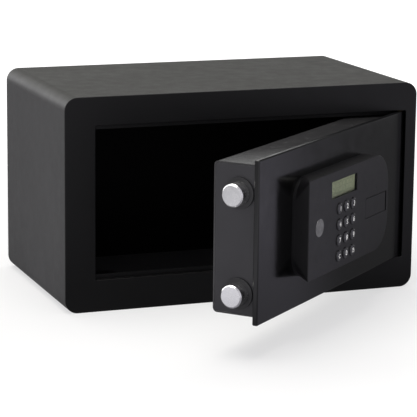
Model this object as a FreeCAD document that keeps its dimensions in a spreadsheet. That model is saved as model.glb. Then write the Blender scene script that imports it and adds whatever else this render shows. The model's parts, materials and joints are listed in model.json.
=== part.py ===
import FreeCAD, Part

import math
import os
import re

import Sketcher

# In-room safe: a rounded steel cabinet, a flush front frame and a side-hung door that carries a
# motor-driven bolt mechanism behind its plate and a keypad housing on its front.
# Frame: millimetres, +Z up, the front faces -Y, +X is to the right seen from the front.
# The origin is the centre of the cabinet's footprint on its underside.
# Door parts are drawn closed and then turned about the hinge axis to the half-open rest pose.

Vector = FreeCAD.Vector
doc = FreeCAD.newDocument("in_room_safe")

DIMENSIONS = {
    # cabinet
    "cab_width": 350, "cab_depth": 200, "cab_height": 200, "cab_corner": 12, "cab_wall": 2,
    "frame_round": 0.6,
    # opening in the front frame, as margins from the cabinet's sides
    "margin_free": 29, "margin_hinge": 11, "margin_low": 30, "margin_top": 26.8, "opening_corner": 1.5,
    # anchoring holes in the base and the back
    "anchor_hole": 9, "anchor_spacing": 200, "anchor_back_z": 70, "anchor_base_y": 20,
    "anchor_head_hole": 26, "mat_thick": 3, "mat_gap": 5, "mat_corner": 8,
    # door plate and hinge
    "gap_free": 1, "gap_edge": 0.6, "plate_thick": 5, "plate_round": 1.2, "nose_radius": 4.5,
    "rest_angle": 41.2, "pin_dia": 4, "pin_half": 12, "running_gap": 0.05, "fixed_gap": 0.02,
    "hinge_block_high": 14, "hinge_block_wide": 18, "hinge_block_deep": 12,
    "washer_dia": 8, "washer_thick": 0.5, "washer_gap": 0.05,
    # stop bars behind the plate's long edges
    "stop_lip": 2, "stop_gap": 0.3, "stop_overlap": 3.4, "stop_high": 3, "stop_clear": 0.4, "stop_end": 9,
    # keeper that the bolts shoot into
    "keeper_gap": 0.5, "keeper_sheet": 2, "keeper_hole": 22, "keeper_deep": 36, "keeper_reach": 10,
    # door box behind the plate
    "box_inset_free": 4, "box_inset_low": 6.4, "box_inset_top": 4.6, "box_inset_hinge": 12,
    "box_deep": 39.5, "box_sheet": 1.5, "box_bend": 4, "panel_sheet": 2, "panel_gap": 0.15,
    # locking bolts
    "bolt_dia": 20, "bolt_reach": 15, "bolt_behind": 15, "bolt_low_z": 56, "bolt_high_z": 142.5,
    "bolt_length": 48, "bolt_travel": 14, "bolt_chamfer": 1.2, "bush_wall": 2, "bush_flange": 27,
    "bush_flange_thick": 1.5, "bush_tube": 12,
    "screw_m6": 6, "head_m6": 10, "head_m6_high": 4, "screw_m6_length": 14,
    # bolt carriage and its guides
    "bar_thick": 3, "bar_wide": 16, "bar_over": 12, "carriage_long": 50, "carriage_low": 66,
    "carriage_high": 138, "carriage_rise": 7, "stud_x": -66, "stud_low_z": 78, "stud_high_z": 126,
    "stud_base": 12, "stud_dia": 8, "stud_slot_gap": 0.4, "side_gap": 0.2, "clip_dia": 13, "clip_thick": 0.8,
    # rack, pinion and gearmotor
    "gear_module": 1, "pinion_teeth": 16, "rack_teeth": 13, "rack_wide": 5, "rack_deep": 6,
    "pitch_line_z": 96, "pinion_x": -74, "pinion_wide": 4.6, "mesh_play": 0.12, "shaft_dia": 4,
    "gearbox_side": 24, "gearbox_deep": 10, "motor_can": 19, "motor_can_long": 8, "bracket_sheet": 2,
    "bracket_high_z": 146, "bracket_low_z": 58, "bracket_foot": 12,
    "screw_m3": 3, "head_m3": 5.5, "head_m3_high": 1.6, "screw_m3_length": 6, "tapped_gap": 0.04,
    "post_dia": 8, "post_left_x": -48, "post_right_x": 72, "post_low_z": 48, "post_high_z": 157,
    "post_thread": 9,
    # control board
    "board_left": 86, "board_right": 140, "board_low": 46, "board_high": 158, "board_thick": 1.6,
    "standoff_high": 4, "standoff_dia": 6, "board_hole_inset": 5,
    # battery pack behind the back cover
    "cell_dia": 14.4, "cell_length": 50, "cell_pitch": 15.6, "pack_half": 36, "pack_low": 66,
    "pack_high": 140, "pack_deep": 18, "pack_wall": 3, "pack_rim": 3, "pack_cavity_low": 72,
    "pack_cavity_high": 134, "slide_cover": 1.2, "slide_gap": 0.1, "slide_groove": 1.5,
    # reset button inside the door
    "reset_x": 112, "reset_z": 146, "reset_dia": 6, "reset_travel": 1.2, "reset_rise": 1.6,
    # keypad housing
    "house_left": -81, "house_right": 89.5, "house_low": 57, "house_high": 146, "house_deep": 16,
    "house_base": 2.5, "house_wall": 2.5, "base_left_round": 20, "face_left_round": 2, "right_round": 28,
    "face_round": 0.5, "boss_dia": 8, "boss_left_x": -67, "boss_right_x": 70, "boss_inset": 10,
    "screw_m4": 4, "head_m4": 7, "head_m4_high": 2.4, "cable_x": 25, "cable_z": 80, "cable_hole": 13,
    # display
    "lcd_x": -8.1, "lcd_z": 129.5, "lcd_wide": 53.6, "lcd_high": 15.4, "lcd_recess": 1, "lens_thick": 1.4,
    "module_border": 2.5, "module_thick": 4,
    # keys
    "key_dia": 10.4, "key_pitch_x": 14.4, "key_pitch_z": 14.3, "key_left_x": -18.6, "key_top_z": 111,
    "key_rise": 1.5, "key_gap": 0.2, "key_flange": 12.4, "key_travel": 1, "dome_dia": 7, "dome_high": 1,
    # badge disc, override cover and override lock
    "badge_x": -59, "badge_z": 101.2, "badge_dia": 16, "badge_thick": 1.2, "badge_rise": 0.3,
    "cover_left": 38.5, "cover_right": 83, "cover_low": 91.3, "cover_high": 109.2, "cover_recess": 1.8,
    "cover_gap": 0.4, "cover_end_gap": 2.5, "flap_pin": 1, "flap_pin_long": 1.6,
    "lock_x": 60, "lock_z": 100.2, "lock_dia": 15, "plug_dia": 11, "lock_tail": 16,
    "cam_reach": 13, "cam_thick": 2, "cam_wide": 7, "lock_hole_gap": 0.4, "switch_wide": 8,
}

# Places on the object, each worked out from the driving dimensions.
PLACES = {
    "front": "-cab_depth / 2",
    "half_width": "cab_width / 2",
    "open_left": "-half_width + margin_free",
    "open_right": "half_width - margin_hinge",
    "open_high": "cab_height - margin_top",
    "hinge_x": "open_right - gap_edge - nose_radius",
    "hinge_y": "front + nose_radius",
    "plate_left": "open_left + gap_free",
    "plate_low": "margin_low + gap_edge",
    "plate_high": "open_high - gap_edge",
    "plate_back": "front + plate_thick",
    "box_left": "plate_left + box_inset_free",
    "box_right": "hinge_x - box_inset_hinge",
    "box_low": "plate_low + box_inset_low",
    "box_high": "plate_high - box_inset_top",
    "box_back": "plate_back + box_deep",
    "panel_back": "box_back - box_sheet - panel_gap",
    "panel_low": "box_low + box_sheet + panel_gap",
    "panel_high": "box_high - box_sheet - panel_gap",
    "bolt_tip": "box_left - bolt_reach",
    "bolt_end": "bolt_tip + bolt_length",
    "bolt_y": "plate_back + bolt_behind",
    "carriage_front": "plate_back + carriage_rise",
    "carriage_back": "carriage_front + bar_thick",
    "rack_back": "carriage_back + rack_wide",
    "pitch_radius": "gear_module * pinion_teeth / 2",
    "pinion_z": "pitch_line_z + pitch_radius + mesh_play",
    "bracket_front": "rack_back + 1",
    "bracket_back": "bracket_front + bracket_sheet",
    "board_front": "plate_back + standoff_high",
    "board_back": "board_front + board_thick",
    "pack_front": "box_back - box_sheet - pack_deep",
    "pack_back": "box_back + pack_rim",
    "groove_front": "box_back + slide_gap",
    "house_face": "front - house_deep",
    "house_inner": "house_face + house_wall",
    "base_front": "front - house_base",
    "pad_board_back": "base_front - 4",
    "pad_board_front": "pad_board_back - board_thick",
    "lens_front": "house_face + lcd_recess",
    "recess_floor": "house_face + cover_recess",
    "flap_thick": "cover_recess - side_gap",
    "flap_x": "cover_left + flap_thick / 2",
    "flap_y": "house_face + flap_thick / 2",
    "lock_back": "plate_back + lock_tail",
}

sheet = doc.addObject("Spreadsheet::Sheet", "Dims")
for row, (alias, size) in enumerate(DIMENSIONS.items(), start=1):
    sheet.set(f"A{row}", alias)
    sheet.set(f"B{row}", str(size))
    sheet.setAlias(f"B{row}", alias)
doc.recompute()


def expand(text):
    """Turn a length written with dimension and place names into a FreeCAD expression."""
    def swap(match):
        word = match.group(0)
        if word in PLACES:
            return "(" + expand(PLACES[word]) + ")"
        if word in DIMENSIONS:
            return "Dims." + word
        return word
    return re.sub(r"[a-z][a-z0-9_]*", swap, str(text))


def number(text):
    """The present value of a length, for shapes that are made directly."""
    return float(sheet.evalExpression(expand(text)))


def bind(item, prop, text):
    item.setExpression(prop, expand(text))


# ---------------------------------------------------------------- sketches and body features

PLANES = {"x": "YZ_Plane", "y": "XZ_Plane", "z": "XY_Plane"}


def new_body(name):
    return doc.addObject("PartDesign::Body", name)


def new_sketch(body, axis, start):
    """A sketch square to a row axis, at the place `start` along it."""
    sketch = body.newObject("Sketcher::SketchObject", body.Name + "_sketch")
    plane = next(item for item in body.Origin.OriginFeatures if item.Role == PLANES[axis])
    sketch.AttachmentSupport = [(plane, "")]
    sketch.MapMode = "FlatFace"
    sign = "-" if axis == "y" else ""
    bind(sketch, "AttachmentOffset.Base.z", f"{sign}({start})")
    return sketch


def fix(sketch, kind, geometry, point, text):
    """Hold a point's horizontal or vertical place from the sketch's origin."""
    index = sketch.addConstraint(Sketcher.Constraint(kind, -1, 1, geometry, point, number(text)))
    bind(sketch, f"Constraints[{index}]", text)


def hold_radius(sketch, geometry, text):
    index = sketch.addConstraint(Sketcher.Constraint("Radius", geometry, number(text)))
    bind(sketch, f"Constraints[{index}]", text)


def polygon(points):
    """A closed outline of straight lines through (across, up) points."""
    def draw(sketch):
        spots = [Vector(number(across), number(up), 0) for across, up in points]
        first = sketch.GeometryCount
        count = len(points)
        for index in range(count):
            sketch.addGeometry(Part.LineSegment(spots[index], spots[(index + 1) % count]), False)
        for index, (across, up) in enumerate(points):
            following = first + (index + 1) % count
            sketch.addConstraint(Sketcher.Constraint("Coincident", first + index, 2, following, 1))
            fix(sketch, "DistanceX", first + index, 1, across)
            fix(sketch, "DistanceY", first + index, 1, up)
    return draw


def rectangle(left, right, low, high):
    return polygon([(left, low), (right, low), (right, high), (left, high)])


def rounded(left, right, low, high, radii):
    """A rectangle with arcs at its corners, in the order low-left, low-right, high-right, high-left."""
    def draw(sketch):
        x0, x1, y0, y1 = (number(side) for side in (left, right, low, high))
        r0, r1, r2, r3 = (number(radius) for radius in radii)
        spots = [((x0 + r0, y0), (x1 - r1, y0)), ((x1, y0 + r1), (x1, y1 - r2)),
                 ((x1 - r2, y1), (x0 + r3, y1)), ((x0, y1 - r3), (x0, y0 + r0))]
        centres = [(x1 - r1, y0 + r1, r1), (x1 - r2, y1 - r2, r2),
                   (x0 + r3, y1 - r3, r3), (x0 + r0, y0 + r0, r0)]
        first = sketch.GeometryCount
        for turn, (ends, (across, up, radius)) in enumerate(zip(spots, centres)):
            sketch.addGeometry(Part.LineSegment(Vector(*ends[0], 0), Vector(*ends[1], 0)), False)
            circle = Part.Circle(Vector(across, up, 0), Vector(0, 0, 1), radius)
            begin = (turn - 1) * math.pi / 2
            sketch.addGeometry(Part.ArcOfCircle(circle, begin, begin + math.pi / 2), False)
        for side in range(4):
            line, arc = first + 2 * side, first + 2 * side + 1
            following = first + (2 * side + 2) % 8
            sketch.addConstraint(Sketcher.Constraint("Tangent", line, 2, arc, 1))
            sketch.addConstraint(Sketcher.Constraint("Tangent", arc, 2, following, 1))
            direction = "Horizontal" if side % 2 == 0 else "Vertical"
            sketch.addConstraint(Sketcher.Constraint(direction, line))
            hold_radius(sketch, arc, radii[(side + 1) % 4])
        fix(sketch, "DistanceY", first, 1, low)
        fix(sketch, "DistanceX", first + 2, 1, right)
        fix(sketch, "DistanceY", first + 4, 1, high)
        fix(sketch, "DistanceX", first + 6, 1, left)
    return draw


def circles(spots, diameter):
    """One circle at each (across, up) spot."""
    def draw(sketch):
        for across, up in spots:
            centre = Vector(number(across), number(up), 0)
            circle = Part.Circle(centre, Vector(0, 0, 1), number(diameter) / 2)
            index = sketch.addGeometry(circle, False)
            fix(sketch, "DistanceX", index, 3, across)
            fix(sketch, "DistanceY", index, 3, up)
            hold_radius(sketch, index, f"({diameter}) / 2")
    return draw


def pad(body, axis, start, length, draw):
    """Material from `start` along the positive row axis."""
    sketch = new_sketch(body, axis, start)
    draw(sketch)
    feature = body.newObject("PartDesign::Pad", body.Name + "_pad")
    feature.Profile = sketch
    bind(feature, "Length", length)
    feature.Reversed = axis == "y"
    doc.recompute()
    return feature


def pocket(body, axis, start, length, draw):
    """A cut from `start` along the positive row axis; it has to remove something."""
    before = body.Shape.Volume
    sketch = new_sketch(body, axis, start)
    draw(sketch)
    feature = body.newObject("PartDesign::Pocket", body.Name + "_pocket")
    feature.Profile = sketch
    bind(feature, "Length", length)
    feature.Reversed = axis != "y"
    doc.recompute()
    if body.Shape.Volume >= before:
        raise ValueError(body.Name + ": a pocket cut nothing")
    return feature


def loft(body, axis, sections):
    """Straight walls through outlines at places along one axis; sections are (place, draw) pairs."""
    sketches = []
    for place, draw in sections:
        sketch = new_sketch(body, axis, place)
        draw(sketch)
        sketches.append(sketch)
    feature = body.newObject("PartDesign::AdditiveLoft", body.Name + "_loft")
    feature.Profile = sketches[0]
    feature.Sections = sketches[1:]
    feature.Ruled = True
    doc.recompute()
    return feature


def fillet(body, size, keep):
    """Round every edge of the body that `keep` accepts."""
    base = body.Tip
    names = [f"Edge{place}" for place, edge in enumerate(base.Shape.Edges, start=1) if keep(edge)]
    if not names:
        raise ValueError(body.Name + ": no edge to round")
    feature = body.newObject("PartDesign::Fillet", body.Name + "_fillet")
    feature.Base = (base, names)
    bind(feature, "Radius", size)
    doc.recompute()
    return feature


def on_line(axis, *spots):
    """Accept edges that run along a row axis through one of the spots on the other two axes."""
    others = [other for other in "xyz" if other != axis]
    targets = [(number(first), number(second)) for first, second in spots]

    def keep(edge):
        low, high = edge.BoundBox, edge.CenterOfMass
        spread = [getattr(low, other.upper() + "Length") for other in others]
        place = [getattr(high, other) for other in others]
        return max(spread) < 0.01 and any(
            abs(place[0] - first) < 0.01 and abs(place[1] - second) < 0.01 for first, second in targets)
    return keep


def in_plane(axis, place):
    """Accept edges that lie in the plane square to a row axis at a place."""
    def keep(edge):
        low, high = (getattr(edge.BoundBox, axis.upper() + end) for end in ("Min", "Max"))
        return abs(low - number(place)) < 0.01 and abs(high - number(place)) < 0.01
    return keep


def revolved(name, axis, at, profile):
    """A turned piece: (along, radius) points spun about a line along the row axis through `at`."""
    body = new_body(name)
    side = {"x": ("x", "y"), "y": ("x", "y"), "z": ("x", "z")}[axis]
    level = at["xyz".index("z" if axis != "z" else "y")]
    plane = "z" if axis != "z" else "y"
    sketch = new_sketch(body, plane, level)
    across, along = (1, 0) if axis == "x" else (0, 1)
    origin = [at["xyz".index(side[0])], at["xyz".index(side[1])]]
    points = []
    for along_place, radius in profile:
        spot = list(origin)
        spot[along] = f"({origin[along]}) + {along_place}"
        spot[across] = f"({origin[across]}) + {radius}"
        points.append(tuple(spot))
    polygon(points)(sketch)
    centre = Part.LineSegment(Vector(*(number(value) for value in origin), 0),
                              Vector(*(number(value) + (1 if index == along else 0)
                                       for index, value in enumerate(origin)), 0))
    line = sketch.addGeometry(centre, True)
    fix(sketch, "DistanceX", line, 1, origin[0])
    fix(sketch, "DistanceY", line, 1, origin[1])
    sketch.addConstraint(Sketcher.Constraint("Horizontal" if axis == "x" else "Vertical", line))
    sketch.addConstraint(Sketcher.Constraint("Distance", line, 1))
    feature = body.newObject("PartDesign::Revolution", name + "_turn")
    feature.Profile = sketch
    feature.ReferenceAxis = (sketch, ["Axis0"])
    feature.Angle = 360
    doc.recompute()
    return body


# ---------------------------------------------------------------- primitives and booleans

TURNS = {
    "x": FreeCAD.Rotation(Vector(0, 1, 0), 90),
    "y": FreeCAD.Rotation(Vector(1, 0, 0), -90),
    "z": FreeCAD.Rotation(),
}


def place_at(item, at):
    for letter, text in zip("xyz", at):
        bind(item, "Placement.Base." + letter, text)


def block(low, high):
    item = doc.addObject("Part::Box", "block")
    for side, start, end in zip(("Length", "Width", "Height"), low, high):
        bind(item, side, f"({end}) - ({start})")
    place_at(item, low)
    return item


def rod(axis, at, length, diameter):
    item = doc.addObject("Part::Cylinder", "rod")
    bind(item, "Radius", f"({diameter}) / 2")
    bind(item, "Height", length)
    item.Placement = FreeCAD.Placement(Vector(), TURNS[axis])
    place_at(item, at)
    return item


def cone(axis, at, length, diameter, end_diameter):
    item = doc.addObject("Part::Cone", "cone")
    bind(item, "Radius1", f"({diameter}) / 2")
    bind(item, "Radius2", f"({end_diameter}) / 2")
    bind(item, "Height", length)
    item.Placement = FreeCAD.Placement(Vector(), TURNS[axis])
    place_at(item, at)
    return item


def fuse(*items):
    if len(items) == 1:
        return items[0]
    item = doc.addObject("Part::MultiFuse", "fuse")
    item.Shapes = list(items)
    return item


def cut(base, *tools):
    item = doc.addObject("Part::Cut", "cut")
    item.Base = base
    item.Tool = fuse(*tools)
    return item


def group(*items):
    """Separate solids that share one node."""
    item = doc.addObject("Part::Compound", "group")
    item.Links = list(items)
    return item


def direct(shape):
    item = doc.addObject("Part::Feature", "shape")
    item.Shape = shape
    return item


def screw(axis, at, length, diameter, head, head_high, sign=1):
    """A pan-head screw; `at` is under its head and the shank runs the way of `sign`."""
    place = "xyz".index(axis)
    shank_at, head_at = list(at), list(at)
    if sign > 0:
        head_at[place] = f"({at[place]}) - ({head_high})"
    else:
        shank_at[place] = f"({at[place]}) - ({length})"
    slot_at = list(head_at)
    slot_at[place] = head_at[place] if sign > 0 else f"({head_at[place]}) + ({head_high}) / 2"
    slot = rod(axis, slot_at, f"({head_high}) / 2", f"({diameter}) * 0.8")
    return cut(fuse(rod(axis, shank_at, length, diameter), rod(axis, head_at, head_high, head)), slot)


# ---------------------------------------------------------------- the list of finished sub-parts

SUB_PARTS = []


def keep_fixed(name, item):
    """A piece of the cabinet, already in its place."""
    item.Label = name
    SUB_PARTS.append(item)


def keep_on_door(name, item):
    """A piece of the door: drawn closed, then turned about the hinge axis to the rest pose."""
    hinge = Vector(number("hinge_x"), number("hinge_y"), 0)
    turn = FreeCAD.Rotation(Vector(0, 0, 1), number("rest_angle"))
    swing = FreeCAD.Placement(Vector(), turn, hinge)
    if item.isDerivedFrom("Part::Box") or item.isDerivedFrom("Part::Cylinder"):
        item = group(item)
    item.Placement = swing
    item.Label = name
    SUB_PARTS.append(item)


def both(first, second, middles):
    """Spots at a first and a second place across, at each of the middle places up."""
    return [(across, up) for across in (first, second) for up in middles]


BOLT_HEIGHTS = ("bolt_low_z", "bolt_high_z")
BOLT_SPOTS = [("bolt_y", height) for height in BOLT_HEIGHTS]
STUD_SPOTS = [("stud_x", height) for height in ("stud_low_z", "stud_high_z")]
BOSS_SPOTS = both("boss_left_x", "boss_right_x", ("house_low + boss_inset", "house_high - boss_inset"))
POST_SPOTS = both("post_left_x", "post_right_x", ("post_low_z", "post_high_z"))
BOARD_SPOTS = both("board_left + board_hole_inset", "board_right - board_hole_inset",
                   ("board_low + board_hole_inset", "board_high - board_hole_inset"))
FOOT_SPOTS = [("pinion_x", "bracket_low_z - bracket_foot / 2"),
              ("pinion_x", "bracket_high_z + bracket_foot / 2")]
MOTOR_SPOTS = [(f"pinion_x {sign} gearbox_side * 0.37", "pinion_z + gearbox_side * 0.37") for sign in "+-"]
KEY_NAMES = ("1", "2", "3", "4", "5", "6", "7", "8", "9", "clear", "0", "enter")
KEY_SPOTS = [(f"key_left_x + {place % 3} * key_pitch_x", f"key_top_z - {place // 3} * key_pitch_z")
             for place in range(len(KEY_NAMES))]


# ---------------------------------------------------------------- cabinet

def cabinet_shell():
    body = new_body("cabinet_shell")
    start, length = "front + cab_wall", "cab_depth - 2 * cab_wall"
    outer = rounded("-half_width", "half_width", "0", "cab_height", ("cab_corner",) * 4)
    pad(body, "y", start, length, outer)
    inner = rounded("-half_width + cab_wall", "half_width - cab_wall", "cab_wall", "cab_height - cab_wall",
                    ("cab_corner - cab_wall",) * 4)
    pocket(body, "y", start, length, inner)
    anchors = [(f"{sign}anchor_spacing / 2", "anchor_base_y") for sign in "+-"]
    pocket(body, "z", "0", "cab_wall", circles(anchors, "anchor_hole"))
    keep_fixed("cabinet_shell", body)


def front_frame():
    body = new_body("front_frame")
    outer = rounded("-half_width", "half_width", "0", "cab_height", ("cab_corner",) * 4)
    pad(body, "y", "front", "cab_wall", outer)
    opening = rounded("open_left", "open_right", "margin_low", "open_high", ("opening_corner",) * 4)
    pocket(body, "y", "front", "cab_wall", opening)
    fillet(body, "frame_round", in_plane("y", "front"))
    keep_fixed("front_frame", body)


def back_plate():
    body = new_body("back_plate")
    outline = rounded("-half_width", "half_width", "0", "cab_height", ("cab_corner",) * 4)
    pad(body, "y", "-front - cab_wall", "cab_wall", outline)
    fillet(body, "frame_round", in_plane("y", "-front"))
    anchors = [(f"{sign}anchor_spacing / 2", "anchor_back_z") for sign in "+-"]
    pocket(body, "y", "-front - cab_wall", "cab_wall", circles(anchors, "anchor_hole"))
    keep_fixed("back_plate", body)


def hinge_blocks():
    bore = "pin_dia + 2 * running_gap"
    blocks = []
    for low in ("open_high", "margin_low - hinge_block_high"):
        solid = block(("hinge_x - hinge_block_wide / 2", "front + cab_wall", low),
                      ("hinge_x + hinge_block_wide / 2", "front + cab_wall + hinge_block_deep",
                       low + " + hinge_block_high"))
        blocks.append(cut(solid, rod("z", ("hinge_x", "hinge_y", low), "hinge_block_high", bore)))
    keep_fixed("hinge_blocks", group(*blocks))


def hinge_washers():
    washers = []
    for low in ("plate_high + washer_gap", "plate_low - washer_gap - washer_thick"):
        at = ("hinge_x", "hinge_y", low)
        ring = rod("z", at, "washer_thick", "washer_dia")
        washers.append(cut(ring, rod("z", at, "washer_thick", "pin_dia + 2 * running_gap")))
    keep_fixed("hinge_washers", group(*washers))


def door_stops():
    left, right = "open_left", "hinge_x - stop_end"
    lip_front = "plate_back + stop_gap"
    lip_back = lip_front + " + stop_lip"
    frame_back = "front + cab_wall"
    upper = fuse(
        block((left, frame_back, "open_high + stop_clear"), (right, lip_back, "open_high + stop_high")),
        block((left, lip_front, "plate_high - stop_overlap"), (right, lip_back, "open_high + stop_high")))
    lower = fuse(
        block((left, frame_back, "margin_low - stop_high"), (right, lip_back, "margin_low - stop_clear")),
        block((left, lip_front, "margin_low - stop_high"), (right, lip_back, "plate_low + stop_overlap")))
    keep_fixed("door_stops", group(upper, lower))


def bolt_keeper():
    """An angle behind the frame; the thrown bolts stand in the holes of its narrow leg."""
    body = new_body("bolt_keeper")
    near, far = "open_left - keeper_gap", "open_left - keeper_gap - keeper_sheet"
    frame_back, deep = "front + cab_wall", "front + cab_wall + keeper_deep"
    wall = "-half_width + cab_wall + panel_gap"
    angle = polygon([(far, frame_back), (near, frame_back), (near, deep), (wall, deep),
                     (wall, deep + " - keeper_sheet"), (far, deep + " - keeper_sheet")])
    low, high = "margin_low + keeper_reach", "open_high - keeper_reach"
    pad(body, "z", low, f"({high}) - ({low})", angle)
    pocket(body, "x", far, "keeper_sheet", circles(BOLT_SPOTS, "keeper_hole"))
    keep_fixed("bolt_keeper", body)


def floor_mat():
    body = new_body("floor_mat")
    side, end = "half_width - cab_corner", "-front - cab_wall - mat_gap"
    outline = rounded(f"-({side})", side, f"-({end})", end, ("mat_corner",) * 4)
    pad(body, "z", "cab_wall", "mat_thick", outline)
    anchors = [(f"{sign}anchor_spacing / 2", "anchor_base_y") for sign in "+-"]
    pocket(body, "z", "cab_wall", "mat_thick", circles(anchors, "anchor_head_hole"))
    keep_fixed("floor_mat", body)


# ---------------------------------------------------------------- door plate and hinge

def nosed_outline(sketch):
    """The plate seen from above: straight faces, and a round nose about the hinge axis."""
    left, right = number("plate_left"), number("hinge_x")
    front, back = number("front"), number("plate_back")
    centre = Vector(right, number("hinge_y"), 0)
    radius = number("nose_radius")
    rise = back - centre.y
    foot = Vector(centre.x - math.sqrt(radius ** 2 - rise ** 2), back, 0)
    nose = Part.Circle(centre, Vector(0, 0, 1), radius)
    sketch.addGeometry(Part.LineSegment(Vector(left, front, 0), Vector(right, front, 0)), False)
    sketch.addGeometry(Part.ArcOfCircle(nose, -math.pi / 2, math.pi - math.asin(rise / radius)), False)
    sketch.addGeometry(Part.LineSegment(foot, Vector(left, back, 0)), False)
    sketch.addGeometry(Part.LineSegment(Vector(left, back, 0), Vector(left, front, 0)), False)
    sketch.addConstraint(Sketcher.Constraint("Tangent", 0, 2, 1, 1))
    for line in (1, 2, 3):
        sketch.addConstraint(Sketcher.Constraint("Coincident", line, 2, (line + 1) % 4, 1))
    sketch.addConstraint(Sketcher.Constraint("Horizontal", 2))
    sketch.addConstraint(Sketcher.Constraint("Vertical", 3))
    fix(sketch, "DistanceX", 0, 1, "plate_left")
    fix(sketch, "DistanceY", 0, 1, "front")
    fix(sketch, "DistanceX", 1, 3, "hinge_x")
    fix(sketch, "DistanceY", 1, 3, "hinge_y")
    hold_radius(sketch, 1, "nose_radius")
    fix(sketch, "DistanceY", 3, 1, "plate_back")


def door_plate():
    body = new_body("door_plate")
    pad(body, "z", "plate_low", "plate_high - plate_low", nosed_outline)
    free_edge = on_line("z", ("plate_left", "front"), ("plate_left", "plate_back"))
    fillet(body, "plate_round", free_edge)
    long_edges = on_line("x", ("front", "plate_low"), ("front", "plate_high"))
    fillet(body, "plate_round", long_edges)
    for start in ("plate_low", "plate_high - pin_half"):
        pocket(body, "z", start, "pin_half", circles([("hinge_x", "hinge_y")], "pin_dia + 2 * fixed_gap"))
    pocket(body, "y", "front", "plate_thick", circles(BOSS_SPOTS, "screw_m4 + cover_gap"))
    pocket(body, "y", "front", "plate_thick", circles([("cable_x", "cable_z")], "cable_hole"))
    pocket(body, "y", "front", "plate_thick", circles([("lock_x", "lock_z")], "lock_dia + lock_hole_gap"))
    depth = "plate_thick - plate_round"
    pocket(body, "y", "plate_back - (" + depth + ")", depth, circles(FOOT_SPOTS, "screw_m3 + tapped_gap"))
    keep_on_door("door_plate", body)


def hinge_pins():
    pins = [rod("z", ("hinge_x", "hinge_y", middle + " - pin_half"), "2 * pin_half", "pin_dia")
            for middle in ("plate_high", "plate_low")]
    keep_on_door("hinge_pins", group(*pins))


# ---------------------------------------------------------------- door box

def side_panel(name, start, bolt_holes):
    body = new_body(name)
    bend = "box_bend - box_sheet"
    outline = rounded("plate_back", "panel_back", "panel_low", "panel_high",
                      ("frame_round", bend, bend, "frame_round"))
    pad(body, "x", start, "panel_sheet", outline)
    if bolt_holes:
        bushes = circles(BOLT_SPOTS, "bolt_dia + 2 * bush_wall + side_gap")
        pocket(body, "x", start, "panel_sheet", bushes)
    keep_on_door(name, body)


def back_cover():
    """One bent sheet: the top, back and underside of the door box."""
    body = new_body("back_cover")
    bend, inner = "box_bend", "box_bend - box_sheet"
    length = "box_right - box_left"
    outside = rounded("plate_back", "box_back", "box_low", "box_high",
                      ("frame_round", bend, bend, "frame_round"))
    inside = rounded("plate_back - 2 * frame_round", "box_back - box_sheet", "box_low + box_sheet",
                     "box_high - box_sheet", ("frame_round", inner, inner, "frame_round"))
    pad(body, "x", "box_left", length, outside)
    pocket(body, "x", "box_left", length, inside)
    sheet_front = "box_back - box_sheet"
    pack = rectangle("-pack_half - panel_gap", "pack_half + panel_gap", "pack_low - panel_gap",
                     "pack_high + panel_gap")
    pocket(body, "y", sheet_front, "box_sheet", pack)
    pocket(body, "y", sheet_front, "box_sheet", circles([("reset_x", "reset_z")], "reset_dia + cover_gap"))
    pocket(body, "y", sheet_front, "box_sheet", circles(POST_SPOTS, "screw_m4 + cover_gap"))
    keep_on_door("back_cover", body)


def cover_posts():
    posts = []
    for across, up in POST_SPOTS:
        post = rod("y", (across, "plate_back", up), "box_deep - box_sheet", "post_dia")
        thread = rod("y", (across, "box_back - box_sheet - post_thread", up), "post_thread",
                     "screw_m4 + tapped_gap")
        posts.append(cut(post, thread))
    keep_on_door("cover_posts", group(*posts))


def cover_screws():
    screws = [screw("y", (across, "box_back", up), "post_thread", "screw_m4", "head_m4", "head_m4_high", -1)
              for across, up in POST_SPOTS]
    keep_on_door("cover_screws", group(*screws))


# ---------------------------------------------------------------- bolts and carriage

def bolt_bushes():
    bushes = []
    for height in BOLT_HEIGHTS:
        tube = rod("x", ("box_left", "bolt_y", height), "bush_tube", "bolt_dia + 2 * bush_wall")
        start = ("box_left - bush_flange_thick", "bolt_y", height)
        flange = rod("x", start, "bush_flange_thick", "bush_flange")
        bore = rod("x", start, "bush_tube + bush_flange_thick", "bolt_dia + 2 * running_gap")
        bushes.append(cut(fuse(tube, flange), bore))
    keep_on_door("bolt_bushes", group(*bushes))


def locking_bolts():
    radius, thread = "bolt_dia / 2", "(screw_m6 + tapped_gap) / 2"
    floor = "bolt_length - screw_m6_length + bar_thick - 1"
    bolts = []
    for height in BOLT_HEIGHTS:
        profile = [("0", "0"), ("0", radius + " - bolt_chamfer"), ("bolt_chamfer", radius),
                   ("bolt_length", radius), ("bolt_length", thread), (floor, thread), (floor, "0")]
        bolts.append(revolved("bolt", "x", ("bolt_tip", "bolt_y", height), profile))
    keep_on_door("locking_bolts", group(*bolts))


def bolt_carriage():
    body = new_body("bolt_carriage")
    bar = rectangle("bolt_end", "bolt_end + bar_thick", "bolt_y - bar_wide / 2", "bolt_y + bar_wide / 2")
    low, high = "bolt_low_z - bar_over", "bolt_high_z + bar_over"
    pad(body, "z", low, f"{high} - ({low})", bar)
    plate = rectangle("bolt_end", "bolt_end + carriage_long", "carriage_low", "carriage_high")
    pad(body, "y", "carriage_front", "bar_thick", plate)
    pocket(body, "x", "bolt_end", "bar_thick", circles(BOLT_SPOTS, "screw_m6 + cover_gap"))
    half = "(stud_dia / 2 + side_gap)"
    for across, up in STUD_SPOTS:
        left, right = f"{across} - bolt_travel - {half} - stud_slot_gap", f"{across} + {half} + stud_slot_gap"
        slot = rounded(left, right, f"{up} - {half}", f"{up} + {half}", (f"{half} - side_gap / 4",) * 4)
        pocket(body, "y", "carriage_front", "bar_thick", slot)
    keep_on_door("bolt_carriage", body)


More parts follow.
